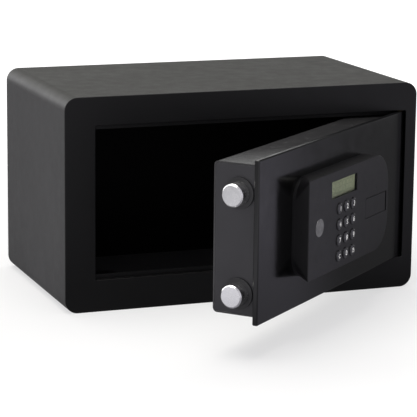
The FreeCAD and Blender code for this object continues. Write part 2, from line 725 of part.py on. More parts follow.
def bolt_screws():
    screws = [screw("x", ("bolt_end + bar_thick", "bolt_y", height), "screw_m6_length", "screw_m6", "head_m6",
                    "head_m6_high", -1) for height in BOLT_HEIGHTS]
    keep_on_door("bolt_screws", group(*screws))


def guide_studs():
    studs = []
    for across, up in STUD_SPOTS:
        clip = "carriage_rise + bar_thick + side_gap"
        profile = [("0", "0"), ("0", "stud_base / 2"), ("carriage_rise - side_gap", "stud_base / 2"),
                   ("carriage_rise - side_gap", "stud_dia / 2"), (clip, "stud_dia / 2"),
                   (clip, "stud_dia / 2 - 1"), (clip + " + 1.5 * clip_thick", "stud_dia / 2 - 1"),
                   (clip + " + 1.5 * clip_thick", "0")]
        studs.append(revolved("stud", "y", (across, "plate_back", up), profile))
    keep_on_door("guide_studs", group(*studs))


def guide_clips():
    clips = []
    for across, up in STUD_SPOTS:
        at = (across, "carriage_back + side_gap", up)
        bore = rod("y", at, "clip_thick", "stud_dia - 2 + 2 * fixed_gap")
        clips.append(cut(rod("y", at, "clip_thick", "clip_dia"), bore))
    keep_on_door("guide_clips", group(*clips))


# ---------------------------------------------------------------- rack, pinion and gearmotor

PRESSURE_ANGLE = math.radians(20)
DEDENDUM = 1.25
FLANK_PLAY = 0.04


def drive_rack():
    """Straight-sided teeth, with a tooth space right under the pinion."""
    module = number("gear_module")
    pitch = math.pi * module
    line, bottom = number("pitch_line_z"), number("pitch_line_z - rack_deep")
    teeth = int(number("rack_teeth"))
    first = number("pinion_x") - (teeth - 4) * pitch
    slope = math.tan(PRESSURE_ANGLE)
    tip, root = line + module, line - DEDENDUM * module
    points = [(first, bottom), (first, root)]
    for tooth in range(teeth):
        middle = first + (tooth + 0.5) * pitch
        half = pitch / 4 - FLANK_PLAY
        foot, top = half + DEDENDUM * module * slope, half - module * slope
        points += [(middle - foot, root), (middle - top, tip), (middle + top, tip), (middle + foot, root)]
    last = first + teeth * pitch
    points += [(last, root), (last, bottom), (first, bottom)]
    front = number("carriage_back")
    outline = Part.makePolygon([Vector(across, front, up) for across, up in points])
    keep_on_door("drive_rack", direct(Part.Face(outline).extrude(Vector(0, number("rack_wide"), 0))))


def involute(base, radius):
    """How far an involute has turned from its root when it reaches a radius."""
    angle = math.acos(min(1, base / radius))
    return math.tan(angle) - angle


def pinion_outline(module, teeth, centre):
    """One closed wire: involute flanks joined by tip and root arcs, with a tooth straight down."""
    pitch_radius = module * teeth / 2
    base = pitch_radius * math.cos(PRESSURE_ANGLE)
    tip, root = pitch_radius + module, pitch_radius - DEDENDUM * module
    half = math.pi / (2 * teeth) + involute(base, pitch_radius) - FLANK_PLAY / pitch_radius

    def spot(radius, angle):
        return centre + Vector(radius * math.sin(angle), 0, -radius * math.cos(angle))

    edges = []
    steps = 6
    for tooth in range(teeth):
        middle = 2 * math.pi * tooth / teeth
        following = middle + 2 * math.pi / teeth
        radii = [base + (tip - base) * step / steps for step in range(steps + 1)]
        rising = [spot(radius, middle - half + involute(base, radius)) for radius in radii]
        falling = [spot(radius, middle + half - involute(base, radius)) for radius in reversed(radii)]
        start, end = spot(root, middle - half), spot(root, middle + half)
        for flank in (rising, falling):
            curve = Part.BSplineCurve()
            curve.interpolate(flank)
            edges.append(curve.toShape())
        edges.append(Part.Arc(rising[-1], spot(tip, middle), falling[0]).toShape())
        edges.append(Part.makeLine(start, rising[0]))
        edges.append(Part.makeLine(falling[-1], end))
        valley = spot(root, (middle + following) / 2)
        edges.append(Part.Arc(end, valley, spot(root, following - half)).toShape())
    return Part.Wire(Part.__sortEdges__(edges))


def drive_pinion():
    centre = Vector(number("pinion_x"), number("carriage_back + side_gap"), number("pinion_z"))
    outline = pinion_outline(number("gear_module"), int(number("pinion_teeth")), centre)
    blank = Part.Face(outline).extrude(Vector(0, number("pinion_wide"), 0))
    bore_radius = number("shaft_dia / 2 + fixed_gap")
    bore = Part.makeCylinder(bore_radius, number("pinion_wide"), centre, Vector(0, 1, 0))
    keep_on_door("drive_pinion", direct(blank.cut(bore)))


def output_shaft():
    start = "carriage_back + side_gap"
    long = f"bracket_back + gearbox_deep / 2 - ({start})"
    shaft = rod("y", ("pinion_x", start, "pinion_z"), long, "shaft_dia")
    keep_on_door("output_shaft", shaft)


def gearmotor():
    half = "gearbox_side / 2"
    front = "bracket_back"
    gearbox = block((f"pinion_x - {half}", front, f"pinion_z - {half}"),
                    (f"pinion_x + {half}", front + " + gearbox_deep", f"pinion_z + {half}"))
    can = rod("y", ("pinion_x", front + " + gearbox_deep", "pinion_z"), "motor_can_long", "motor_can")
    bore = rod("y", ("pinion_x", front, "pinion_z"), "gearbox_deep / 2 + side_gap",
               "shaft_dia + 2 * running_gap")
    threads = [rod("y", (across, front, up), "screw_m3_length", "screw_m3 + tapped_gap")
               for across, up in MOTOR_SPOTS]
    keep_on_door("gearmotor", cut(fuse(gearbox, can), bore, *threads))


def motor_bracket():
    """A hat-shaped strip that bridges the sliding carriage."""
    body = new_body("motor_bracket")
    sheet_back = "plate_back + bracket_sheet"
    low, high = "bracket_low_z", "bracket_high_z"
    strip = polygon([
        ("plate_back", low + " - bracket_foot"), (sheet_back, low + " - bracket_foot"), (sheet_back, low),
        ("bracket_back", low), ("bracket_back", high), (sheet_back, high),
        (sheet_back, high + " + bracket_foot"), ("plate_back", high + " + bracket_foot"),
        ("plate_back", high + " - bracket_sheet"), ("bracket_front", high + " - bracket_sheet"),
        ("bracket_front", low + " + bracket_sheet"), ("plate_back", low + " + bracket_sheet")])
    pad(body, "x", "pinion_x - gearbox_side / 2", "gearbox_side", strip)
    pocket(body, "y", "plate_back", "bracket_sheet", circles(FOOT_SPOTS, "screw_m3 + cover_gap"))
    pocket(body, "y", "bracket_front", "bracket_sheet", circles(MOTOR_SPOTS, "screw_m3 + cover_gap"))
    pocket(body, "y", "bracket_front", "bracket_sheet", circles([("pinion_x", "pinion_z")], "2 * shaft_dia"))
    keep_on_door("motor_bracket", body)


# ---------------------------------------------------------------- electronics in the door box

def small_screws():
    size = ("screw_m3", "head_m3", "head_m3_high")
    feet = [screw("y", (across, "plate_back + bracket_sheet", up), "screw_m3_length - 1", *size, -1)
            for across, up in FOOT_SPOTS]
    motor = [screw("y", (across, "bracket_front", up), "screw_m3_length", *size)
             for across, up in MOTOR_SPOTS]
    boards = [screw("y", (across, "board_back", up), "screw_m3_length - 1", *size, -1)
              for across, up in BOARD_SPOTS]
    keep_on_door("small_screws", group(*feet, *motor, *boards))


def board_standoffs():
    posts = []
    for across, up in BOARD_SPOTS:
        at = (across, "plate_back", up)
        thread = rod("y", at, "standoff_high", "screw_m3 + tapped_gap")
        posts.append(cut(rod("y", at, "standoff_high", "standoff_dia"), thread))
    keep_on_door("board_standoffs", group(*posts))


def control_board():
    """The board with its parts soldered on: (left, low, wide, high, rise) from its lower left corner."""
    board = block(("board_left", "board_front", "board_low"), ("board_right", "board_back", "board_high"))
    holes = [rod("y", (across, "board_front", up), "board_thick", "screw_m3 + cover_gap")
             for across, up in BOARD_SPOTS]
    fitted = {"motor_plug": (12, 6, 14, 6, 8), "relay": (30, 16, 16, 12, 9),
              "processor": (16, 50, 14, 14, 1.6), "memory": (36, 52, 8, 6, 1.6),
              "battery_plug": (4, 74, 6, 14, 8)}
    solids = [cut(board, *holes)]
    for left, low, wide, high, rise in fitted.values():
        start = (f"board_left + {left}", "board_back", f"board_low + {low}")
        solids.append(block(start, (f"{start[0]} + {wide}", f"board_back + {rise}", f"{start[2]} + {high}")))
    for left, low in ((10, 34), (40, 84), (44, 40)):
        at = (f"board_left + {left}", "board_back", f"board_low + {low}")
        solids.append(rod("y", at, "11", "8"))
    solids.append(block(("reset_x - 3", "board_back", "reset_z - 3"),
                        ("reset_x + 3", "board_back + 4", "reset_z + 3")))
    keep_on_door("control_board", fuse(*solids))


def battery_holder():
    body = new_body("battery_holder")
    outline = rectangle("-pack_half", "pack_half", "pack_low", "pack_high")
    pad(body, "y", "pack_front", "pack_back - pack_front", outline)
    cavity = rectangle("-pack_half + pack_wall", "pack_half - pack_wall",
                       "pack_cavity_low", "pack_cavity_high")
    floor = "pack_front + pack_wall / 2"
    pocket(body, "y", floor, f"pack_back - ({floor})", cavity)
    groove = rectangle("-pack_half + pack_wall - slide_groove", "pack_half",
                       "pack_cavity_low - slide_groove", "pack_cavity_high + slide_groove")
    pocket(body, "y", "groove_front", "slide_cover + 2 * slide_gap", groove)
    keep_on_door("battery_holder", body)


CELLS = 4


def cell_places():
    """Each cell's place across, and whether its button end points up."""
    return [(f"({place} - {(CELLS - 1) / 2}) * cell_pitch", place % 2 == 0) for place in range(CELLS)]


def batteries():
    middle = "pack_front + pack_wall / 2 + cell_dia / 2 + slide_gap"
    button, button_dia, spring_room = "1.5", "5.5", "9.6"
    cells = []
    for across, upward in cell_places():
        low = f"pack_cavity_low + {spring_room if upward else '0.8 + ' + button}"
        can = rod("z", (across, middle, low), f"cell_length - {button}", "cell_dia")
        nub_low = f"{low} + cell_length - {button}" if upward else f"{low} - {button}"
        cells.append(fuse(can, rod("z", (across, middle, nub_low), button, button_dia)))
    keep_on_door("batteries", group(*cells))


def coil(centre, high, radius, wire, turns):
    """A coil spring standing on a point, bent from short straight lengths of wire."""
    bends = 12
    spots = []
    for step in range(turns * bends + 1):
        angle = 2 * math.pi * step / bends
        rise = high * step / (turns * bends)
        spots.append(centre + Vector(radius * math.cos(angle), radius * math.sin(angle), rise))
    section = Part.Wire(Part.makeCircle(wire / 2, spots[0], spots[1] - spots[0]))
    mitred = 1
    return Part.makePolygon(spots).makePipeShell([section], True, False, mitred)


def battery_contacts():
    """A flat plate and a coil spring for each cell."""
    wire, turns, plate = 0.7, 5, 0.4
    middle = number("pack_front + pack_wall / 2 + cell_dia / 2 + slide_gap")
    low, high = number("pack_cavity_low"), number("pack_cavity_high")
    shapes = []
    for across, upward in cell_places():
        x = number(across)
        for level in (low, high - plate):
            shapes.append(Part.makeBox(10, 9, plate, Vector(x - 5, middle - 4.5, level)))
        spring_low = low + plate + wire if upward else high - plate - wire - 7.6
        shapes.append(coil(Vector(x, middle, spring_low), 7.6, 3.2, wire, turns))
    keep_on_door("battery_contacts", direct(Part.makeCompound(shapes)))


def battery_cover():
    body = new_body("battery_cover")
    left = "-pack_half + pack_wall - slide_groove + slide_gap"
    low, high = "pack_cavity_low - slide_groove + slide_gap", "pack_cavity_high + slide_groove - slide_gap"
    start = "groove_front + slide_gap"
    pad(body, "y", start, "slide_cover", rectangle(left, "pack_half", low, high))
    middle = "(pack_cavity_low + pack_cavity_high) / 2"
    for place in range(5):
        across = f"pack_half - 10 - {place} * 2.5"
        grip = rectangle(across, f"{across} + 1.2", f"{middle} - 9", f"{middle} + 9")
        pocket(body, "y", f"{start} + slide_cover / 2", "slide_cover / 2", grip)
    keep_on_door("battery_cover", body)


def reset_button():
    """A long plunger from the back cover down to the switch on the control board."""
    start = "board_back + 4 + reset_travel + 0.1"
    collar_end = f"box_back - box_sheet - side_gap - ({start})"
    tip = f"box_back + reset_rise - ({start})"
    profile = [("0", "0"), ("0", "reset_dia / 4"), (f"{collar_end} - 1.4", "reset_dia / 4"),
               (f"{collar_end} - 1.4", "reset_dia / 2 + 1"), (collar_end, "reset_dia / 2 + 1"),
               (collar_end, "reset_dia / 2"), (f"{tip} - 0.5", "reset_dia / 2"), (tip, "reset_dia / 2 - 0.5"),
               (tip, "0")]
    keep_on_door("reset_button", group(revolved("reset", "y", ("reset_x", start, "reset_z"), profile)))


def override_switch():
    left = "lock_x - cam_reach - 0.8 - switch_wide"
    case = block((left, "plate_back", "lock_z - 8"),
                 (f"{left} + switch_wide - 1", "lock_back + 4", "lock_z + 8"))
    plunger = block((f"{left} + switch_wide - 1", "lock_back", "lock_z - 2"),
                    (f"{left} + switch_wide", "lock_back + 3", "lock_z + 2"))
    keep_on_door("override_switch", fuse(case, plunger))


def cable_harness():
    """A flat ribbon from the keypad board, through the plate, to the control board."""
    thick, wide, bend = 1, 8, 2.5
    x0, x1, up = number("cable_x"), number("board_left") + 8, number("cable_z")
    start, level, end = number("pad_board_back + 3.2"), number("plate_back + 1.5"), number("board_front - 0.1")
    last_bend = end - level
    slant = math.sqrt(0.5)

    def quarter(first, middle, last):
        return Part.Arc(Vector(*first, up), Vector(*middle, up), Vector(*last, up)).toShape()

    path = Part.Wire([
        Part.makeLine(Vector(x0, start, up), Vector(x0, level - bend, up)),
        quarter((x0, level - bend), (x0 + (1 - slant) * bend, level - (1 - slant) * bend), (x0 + bend, level)),
        Part.makeLine(Vector(x0 + bend, level, up), Vector(x1 - last_bend, level, up)),
        quarter((x1 - last_bend, level), (x1 - (1 - slant) * last_bend, end - slant * last_bend), (x1, end))])
    section = Part.makePolygon([Vector(x0 + side * thick / 2, start, up + edge * wide / 2)
                                for side, edge in ((-1, -1), (1, -1), (1, 1), (-1, 1), (-1, -1))])
    ribbon = path.makePipeShell([section], True, True)
    keep_on_door("cable_harness", direct(ribbon))


# ---------------------------------------------------------------- keypad housing

BASE_ROUNDS = ("base_left_round", "right_round", "right_round", "base_left_round")
FACE_ROUNDS = ("face_left_round", "right_round", "right_round", "face_left_round")
LOCK_HOLE = circles([("lock_x", "lock_z")], "lock_dia + lock_hole_gap")


def keypad_base():
    body = new_body("keypad_base")
    pad(body, "y", "base_front", "house_base",
        rounded("house_left", "house_right", "house_low", "house_high", BASE_ROUNDS))
    pocket(body, "y", "base_front", "house_base", circles(BOSS_SPOTS, "screw_m4 + cover_gap"))
    pocket(body, "y", "base_front", "house_base", circles([("cable_x", "cable_z")], "cable_hole"))
    pocket(body, "y", "base_front", "house_base", LOCK_HOLE)
    keep_on_door("keypad_base", body)


def keypad_housing():
    """A moulded shell: its left corners run from a wide round at the base to a crisp face."""
    body = new_body("keypad_housing")
    sides = ("house_left", "house_right", "house_low", "house_high")
    inset = ("house_left + face_round", "house_right - face_round", "house_low + face_round",
             "house_high - face_round")
    inset_rounds = [radius + " - face_round" for radius in FACE_ROUNDS]
    loft(body, "y", [("house_face", rounded(*inset, inset_rounds)),
                     ("house_face + face_round", rounded(*sides, FACE_ROUNDS)),
                     ("base_front", rounded(*sides, BASE_ROUNDS))])
    inner_rounds = [radius + " - house_wall" for radius in BASE_ROUNDS]
    inside = rounded("house_left + house_wall", "house_right - house_wall", "house_low + house_wall",
                     "house_high - house_wall", inner_rounds)
    pocket(body, "y", "house_inner", "base_front - house_inner", inside)
    pad(body, "y", "house_inner", "base_front - house_inner", circles(BOSS_SPOTS, "boss_dia"))
    pocket(body, "y", "base_front - boss_dia", "boss_dia", circles(BOSS_SPOTS, "screw_m4 + tapped_gap"))
    backing = rectangle("cover_left - house_wall", "house_right - house_wall / 2", "cover_low - house_wall",
                        "cover_high + house_wall")
    pad(body, "y", "house_inner", "cover_recess", backing)
    window = rectangle("lcd_x - lcd_wide / 2", "lcd_x + lcd_wide / 2", "lcd_z - lcd_high / 2",
                       "lcd_z + lcd_high / 2")
    pocket(body, "y", "house_face", "house_wall", window)
    pocket(body, "y", "house_face", "house_wall", circles(KEY_SPOTS, "key_dia + 2 * key_gap"))
    badge = circles([("badge_x", "badge_z")], "badge_dia + side_gap")
    pocket(body, "y", "house_face", "badge_thick - badge_rise", badge)
    recess = rectangle("cover_left - cover_gap", "cover_right + cover_end_gap", "cover_low - cover_gap",
                       "cover_high + cover_gap")
    pocket(body, "y", "house_face", "cover_recess", recess)
    pocket(body, "y", "recess_floor", "house_wall", LOCK_HOLE)
    low = "cover_low - cover_gap - flap_pin_long"
    high = "cover_high + cover_gap + flap_pin_long"
    pins = circles([("flap_x", "flap_y")], "flap_pin + 2 * running_gap")
    pocket(body, "z", low, f"{high} - ({low})", pins)
    keep_on_door("keypad_housing", body)


def housing_screws():
    length = "plate_thick + house_base + boss_dia - 1"
    screws = [screw("y", (across, "plate_back", up), length, "screw_m4", "head_m4", "head_m4_high", -1)
              for across, up in BOSS_SPOTS]
    keep_on_door("housing_screws", group(*screws))


def lcd_window():
    body = new_body("lcd_window")
    half_wide, half_high = "(lcd_wide / 2 - slide_gap)", "(lcd_high / 2 - slide_gap)"
    pad(body, "y", "lens_front", "lens_thick",
        rectangle(f"lcd_x - {half_wide}", f"lcd_x + {half_wide}",
                  f"lcd_z - {half_high}", f"lcd_z + {half_high}"))
    keep_on_door("lcd_window", body)


def lcd_module():
    half_wide, half_high = "(lcd_wide / 2 + module_border)", "(lcd_high / 2 + module_border)"
    module = block((f"lcd_x - {half_wide}", "house_inner + slide_gap", f"lcd_z - {half_high}"),
                   (f"lcd_x + {half_wide}", "house_inner + slide_gap + module_thick", f"lcd_z + {half_high}"))
    keep_on_door("lcd_module", module)


def keypad_board():
    inset = "(house_wall + 1)"
    board = block(("boss_left_x + boss_dia", "pad_board_front", f"house_low + {inset}"),
                  ("lock_x - lock_dia", "pad_board_back", f"house_high - {inset}"))
    plug = block(("cable_x - 5", "pad_board_back", "cable_z - 3"),
                 ("cable_x + 5", "pad_board_back + 3", "cable_z + 3"))
    keep_on_door("keypad_board", fuse(board, plug))


def dome_switches():
    domes = [cone("y", (across, "pad_board_front - dome_high", up), "dome_high", "dome_dia / 2", "dome_dia")
             for across, up in KEY_SPOTS]
    keep_on_door("dome_switches", group(*domes))


def key(name, across, up):
    """A domed cap, a flange behind the face that keeps it in, and a stem over its dome switch."""
    tip = "house_face - key_rise"
    radius = "key_dia / 2"
    under_face = f"house_inner + key_gap - ({tip})"
    stem_end = f"pad_board_front - dome_high - key_travel - 0.1 - ({tip})"
    profile = [("0", "0"), ("0", f"{radius} * 0.55"),
               ("0.12", f"{radius} * 0.78"), ("0.45", f"{radius} * 0.93"),
               ("1", radius), (under_face, radius), (under_face, "key_flange / 2"),
               (under_face + " + 1", "key_flange / 2"), (under_face + " + 1", "key_dia / 4"),
               (stem_end, "key_dia / 4"), (stem_end, "0")]
    keep_on_door("key_" + name, group(revolved("key", "y", (across, tip, up), profile)))


def badge_disc():
    body = new_body("badge_disc")
    pad(body, "y", "house_face - badge_rise", "badge_thick", circles([("badge_x", "badge_z")], "badge_dia"))
    fillet(body, "badge_rise", in_plane("y", "house_face - badge_rise"))
    keep_on_door("badge_disc", body)


def override_cover():
    """A flap over the lock, with a pin at each corner of its pivoted left end."""
    body = new_body("override_cover")
    back = "house_face + flap_thick"
    length = "cover_high - cover_low"
    pad(body, "z", "cover_low", length, rectangle("cover_left", "cover_right", "house_face", back))
    fillet(body, "flap_thick / 2 - 0.01", on_line("z", ("cover_left", "house_face"), ("cover_left", back)))
    low = "cover_low - flap_pin_long"
    pins = circles([("flap_x", "flap_y")], "flap_pin")
    pad(body, "z", low, f"cover_high + flap_pin_long - ({low})", pins)
    keep_on_door("override_cover", body)


# ---------------------------------------------------------------- override lock

def lock_cylinder():
    start, length = "recess_floor + side_gap", "lock_back - (recess_floor + side_gap)"
    barrel = rod("y", ("lock_x", start, "lock_z"), length, "lock_dia")
    flange = rod("y", ("lock_x", "base_front - 1.5", "lock_z"), "1.5", "lock_dia + 5")
    nut = rod("y", ("lock_x", "plate_back", "lock_z"), "3", "lock_dia + 7")
    bore = rod("y", ("lock_x", start, "lock_z"), length, "plug_dia + 2 * running_gap")
    keep_on_door("lock_cylinder", cut(fuse(barrel, flange, nut), bore))


def lock_plug():
    start = "recess_floor + 2 * side_gap"
    tail = "lock_back + 2 * side_gap + cam_thick + 1"
    plug = rod("y", ("lock_x", start, "lock_z"), f"lock_back - ({start})", "plug_dia")
    stub = rod("y", ("lock_x", "lock_back", "lock_z"), f"{tail} - lock_back", "plug_dia / 2")
    keyway = block(("lock_x - 0.7", start, "lock_z - 3.6"), ("lock_x + 0.7", f"{start} + 12", "lock_z + 3.6"))
    keep_on_door("lock_plug", cut(fuse(plug, stub), keyway))


def lock_cam():
    front = "lock_back + 2 * side_gap"
    hub = rod("y", ("lock_x", front, "lock_z"), "cam_thick", "plug_dia")
    arm = block(("lock_x - cam_wide / 2", front, "lock_z - cam_reach"),
                ("lock_x + cam_wide / 2", front + " + cam_thick", "lock_z"))
    bore = rod("y", ("lock_x", front, "lock_z"), "cam_thick", "plug_dia / 2 + 2 * fixed_gap")
    keep_on_door("lock_cam", cut(fuse(hub, arm), bore))


# ---------------------------------------------------------------- build, check and write

for make in (cabinet_shell, front_frame, back_plate, hinge_blocks, hinge_washers, door_stops, bolt_keeper,
             floor_mat, door_plate, hinge_pins, back_cover, cover_posts, cover_screws, bolt_bushes,
             locking_bolts, bolt_carriage, bolt_screws, guide_studs, guide_clips, drive_rack, drive_pinion,
             output_shaft, gearmotor, motor_bracket, small_screws, board_standoffs, control_board,
             battery_holder, batteries, battery_contacts, battery_cover, reset_button, override_switch,
             cable_harness, keypad_base, keypad_housing, housing_screws, lcd_window, lcd_module,
             keypad_board, dome_switches, badge_disc, override_cover, lock_cylinder, lock_plug, lock_cam):
    make()
side_panel("bolt_side_panel", "box_left", True)
side_panel("hinge_side_panel", "box_right - panel_sheet", False)
for label, (key_x, key_z) in zip(KEY_NAMES, KEY_SPOTS):
    key(label, key_x, key_z)

doc.recompute()
for item in doc.Objects:
    if "Invalid" in item.State or "Error" in item.State:
        raise ValueError(item.Name + " did not build: " + ", ".join(item.State))
for item in SUB_PARTS:
    if item.Shape.isNull() or not item.Shape.isValid() or not item.Shape.Solids:
        raise ValueError(item.Label + " has no valid solid")

os.makedirs("parts", exist_ok=True)
for item in SUB_PARTS:
    item.Shape.exportStep(f"parts/{item.Label}.step")
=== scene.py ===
import json
import math
from itertools import product

import bmesh
import bpy
from mathutils import Matrix, Vector, noise

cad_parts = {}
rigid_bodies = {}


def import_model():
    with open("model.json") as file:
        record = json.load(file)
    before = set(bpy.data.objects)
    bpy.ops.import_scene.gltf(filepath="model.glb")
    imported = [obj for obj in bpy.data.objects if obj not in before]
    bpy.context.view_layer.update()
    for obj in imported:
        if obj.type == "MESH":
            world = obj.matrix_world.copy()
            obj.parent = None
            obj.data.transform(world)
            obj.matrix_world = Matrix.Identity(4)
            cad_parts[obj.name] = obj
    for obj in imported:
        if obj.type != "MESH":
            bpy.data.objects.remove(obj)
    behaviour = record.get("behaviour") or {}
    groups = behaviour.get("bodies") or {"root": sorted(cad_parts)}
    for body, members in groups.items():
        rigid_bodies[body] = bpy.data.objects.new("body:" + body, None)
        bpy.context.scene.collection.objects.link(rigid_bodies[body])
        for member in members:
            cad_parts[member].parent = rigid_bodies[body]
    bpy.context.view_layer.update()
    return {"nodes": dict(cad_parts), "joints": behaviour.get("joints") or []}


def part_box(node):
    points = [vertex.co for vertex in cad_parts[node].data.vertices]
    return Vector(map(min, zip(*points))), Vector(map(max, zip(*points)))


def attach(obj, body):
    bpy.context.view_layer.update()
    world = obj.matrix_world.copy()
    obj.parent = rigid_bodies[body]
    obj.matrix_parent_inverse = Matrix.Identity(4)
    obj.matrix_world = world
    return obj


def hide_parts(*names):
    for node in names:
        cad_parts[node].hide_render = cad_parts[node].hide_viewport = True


# Looks for the in-room safe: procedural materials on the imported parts, printed key symbols,
# display segments, a felt mat, and a pale studio with the camera at the object's three-quarter view.
# Metres, in the part's own frame: +Z up, the front faces -Y.

for item in list(bpy.data.objects):
    bpy.data.objects.remove(item)

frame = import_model()
NODES = frame["nodes"]
JOINTS = {joint["name"]: joint for joint in frame["joints"]}
MM = 0.001
CABINET_CORNER = 12 * MM
BOARD_THICK = 1.6 * MM

# The door's own directions at rest: along it to the hinge, into it from its front face, and up.
ALONG = Vector(JOINTS["bolt_throw"]["axis"])
INTO = Vector(JOINTS["key_5_press"]["axis"])
UP = Vector((0, 0, 1))
DOOR_TURN = Matrix((ALONG, INTO, UP)).transposed().to_4x4()


def door_box(name):
    """Lowest and highest corner of a node, measured in the door's own directions."""
    spots = [DOOR_TURN.inverted() @ vertex.co for vertex in NODES[name].data.vertices]
    low = Vector([min(spot[i] for spot in spots) for i in range(3)])
    high = Vector([max(spot[i] for spot in spots) for i in range(3)])
    return low, high


def add_object(name, data):
    """Put new data into the scene."""
    item = bpy.data.objects.new(name, data)
    bpy.context.scene.collection.objects.link(item)
    return item


# ---------------------------------------------------------------- node graphs

class Graph:
    """The node tree of a material or a world, with short calls for the nodes that are used here."""

    def __init__(self, owner, coordinates="Object"):
        owner.use_nodes = True
        self.owner = owner
        self.tree = owner.node_tree
        self.tree.nodes.clear()
        self.output = self.add("OutputWorld" if isinstance(owner, bpy.types.World) else "OutputMaterial")
        self.place = self.add("TexCoord").outputs[coordinates]

    def feed(self, socket, value):
        """Link a socket to another node's output, or give it a plain value."""
        if isinstance(value, bpy.types.NodeSocket):
            self.tree.links.new(value, socket)
        elif socket.type == "RGBA" and len(value) == 3:
            socket.default_value = (*value, 1)
        else:
            socket.default_value = value

    def add(self, kind, inputs=None, **settings):
        """A node of one kind, with its settings and its inputs by name or number."""
        node = self.tree.nodes.new("ShaderNode" + kind)
        for name, value in settings.items():
            setattr(node, name, value)
        for name, value in (inputs or {}).items():
            self.feed(node.inputs[name], value)
        return node

    def show(self, shader):
        """Finish the tree with a shader and give back the material or world."""
        self.tree.links.new(shader.outputs[0], self.output.inputs["Surface"])
        return self.owner

    def light_path(self, kind):
        """1 for rays of one kind, such as Camera or Glossy, and 0 for all others."""
        return self.add("LightPath").outputs[f"Is {kind} Ray"]

    def dot(self, place, direction):
        return self.add("VectorMath", {0: place, 1: direction}, operation="DOT_PRODUCT").outputs["Value"]

    def noise(self, size, detail=3, stretch=(1, 1, 1), place=None, roughness=0.55):
        """Fractal noise whose largest features are about `size` metres."""
        scaled = self.add("Mapping", {"Vector": place or self.place, "Scale": stretch})
        return self.add("TexNoise", {"Vector": scaled.outputs[0], "Scale": 1 / size, "Detail": detail,
                                     "Roughness": roughness}).outputs["Fac"]

    def cells(self, size, output="Distance"):
        """Cell noise with cells of about `size` metres."""
        node = self.add("TexVoronoi", {"Vector": self.place, "Scale": 1 / size}, feature="F1")
        return node.outputs[output]

    def math(self, operation, *values):
        node = self.add("Math", operation=operation)
        for socket, value in zip(node.inputs, values):
            self.feed(socket, value)
        return node.outputs[0]

    def span(self, value, start, end, low=0.0, high=1.0, smooth=False):
        """Map start..end of a value to low..high, held at the ends."""
        node = self.add("MapRange", {"Value": value, "From Min": start, "From Max": end, "To Min": low,
                                     "To Max": high})
        node.interpolation_type = "SMOOTHSTEP" if smooth else "LINEAR"
        return node.outputs[0]

    def mix(self, factor, first, second):
        """Blend two colours."""
        node = self.add("Mix", {"Factor": factor}, data_type="RGBA")
        colours = [socket for socket in node.inputs if socket.type == "RGBA"]
        self.feed(colours[0], first)
        self.feed(colours[1], second)
        return node.outputs[2]

    def along(self, direction):
        """How far a point lies along a direction, in the object's own frame."""
        return self.dot(self.place, direction)

    def rounded_normal(self, radius):
        """Surface normal with the edges rounded to a radius."""
        return self.add("Bevel", {"Radius": radius}, samples=4).outputs[0]

    def edges(self, normal):
        """1 on the small rounds of edges, 0 on the open faces."""
        flat = self.add("NewGeometry").outputs["Normal"]
        return self.span(self.dot(normal, flat), 0.985, 0.8)

    def bump(self, height, depth, strength=1.0, normal=None):
        """Normal of a surface that rises by up to `depth` metres where the height is 1."""
        inputs = {"Height": height, "Distance": depth, "Strength": strength}
        if normal is not None:
            inputs["Normal"] = normal
        return self.add("Bump", inputs).outputs[0]

    def surface(self, **inputs):
        """Finish a material with one principled shader."""
        names = {"colour": "Base Color", "roughness": "Roughness", "metal": "Metallic", "normal": "Normal",
                 "specular": "Specular IOR Level", "subsurface": "Subsurface Weight",
                 "coat": "Coat Weight", "coat_roughness": "Coat Roughness",
                 "sheen": "Sheen Weight", "sheen_roughness": "Sheen Roughness"}
        values = {names[name]: value for name, value in inputs.items()}
        return self.show(self.add("BsdfPrincipled", values))


def material_graph(name):
    return Graph(bpy.data.materials.new(name))


def shade(colour, factor):
    return tuple(channel * factor for channel in colour)


# ---------------------------------------------------------------- finishes

def cavity_mask(g):
    """1 on the inner walls of the cabinet, where shade is painted, 0 on its outside, rounded corners
    included.
    """
    low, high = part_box("cabinet_shell")
    across, along, up = g.add("SeparateXYZ", {"Vector": g.place}).outputs
    beyond = []
    for part, start, end in ((across, low[0], high[0]), (up, low[2], high[2])):
        away = g.math("ABSOLUTE", g.math("SUBTRACT", part, (start + end) / 2))
        beyond.append(g.math("SUBTRACT", away, (end - start) / 2 - CABINET_CORNER))
    squares = [g.math("POWER", g.math("MAXIMUM", part, 0.0), 2.0) for part in beyond]
    rounded = g.math("SQRT", g.math("ADD", *squares))
    straight = g.math("MINIMUM", g.math("MAXIMUM", *beyond), 0.0)
    depth = g.math("SUBTRACT", CABINET_CORNER, g.math("ADD", rounded, straight))
    before_outside = g.span(along, high[1] + 0.2 * MM, high[1] + 0.6 * MM, 1, 0)
    return g.math("MULTIPLY", g.span(depth, 1.4 * MM, 1.6 * MM), before_outside)


# Painted shade for the top: the paler tone of upward faces that reflect less light.
TOP_SHADE_TONE = (0.0228, 0.0228, 0.0206)


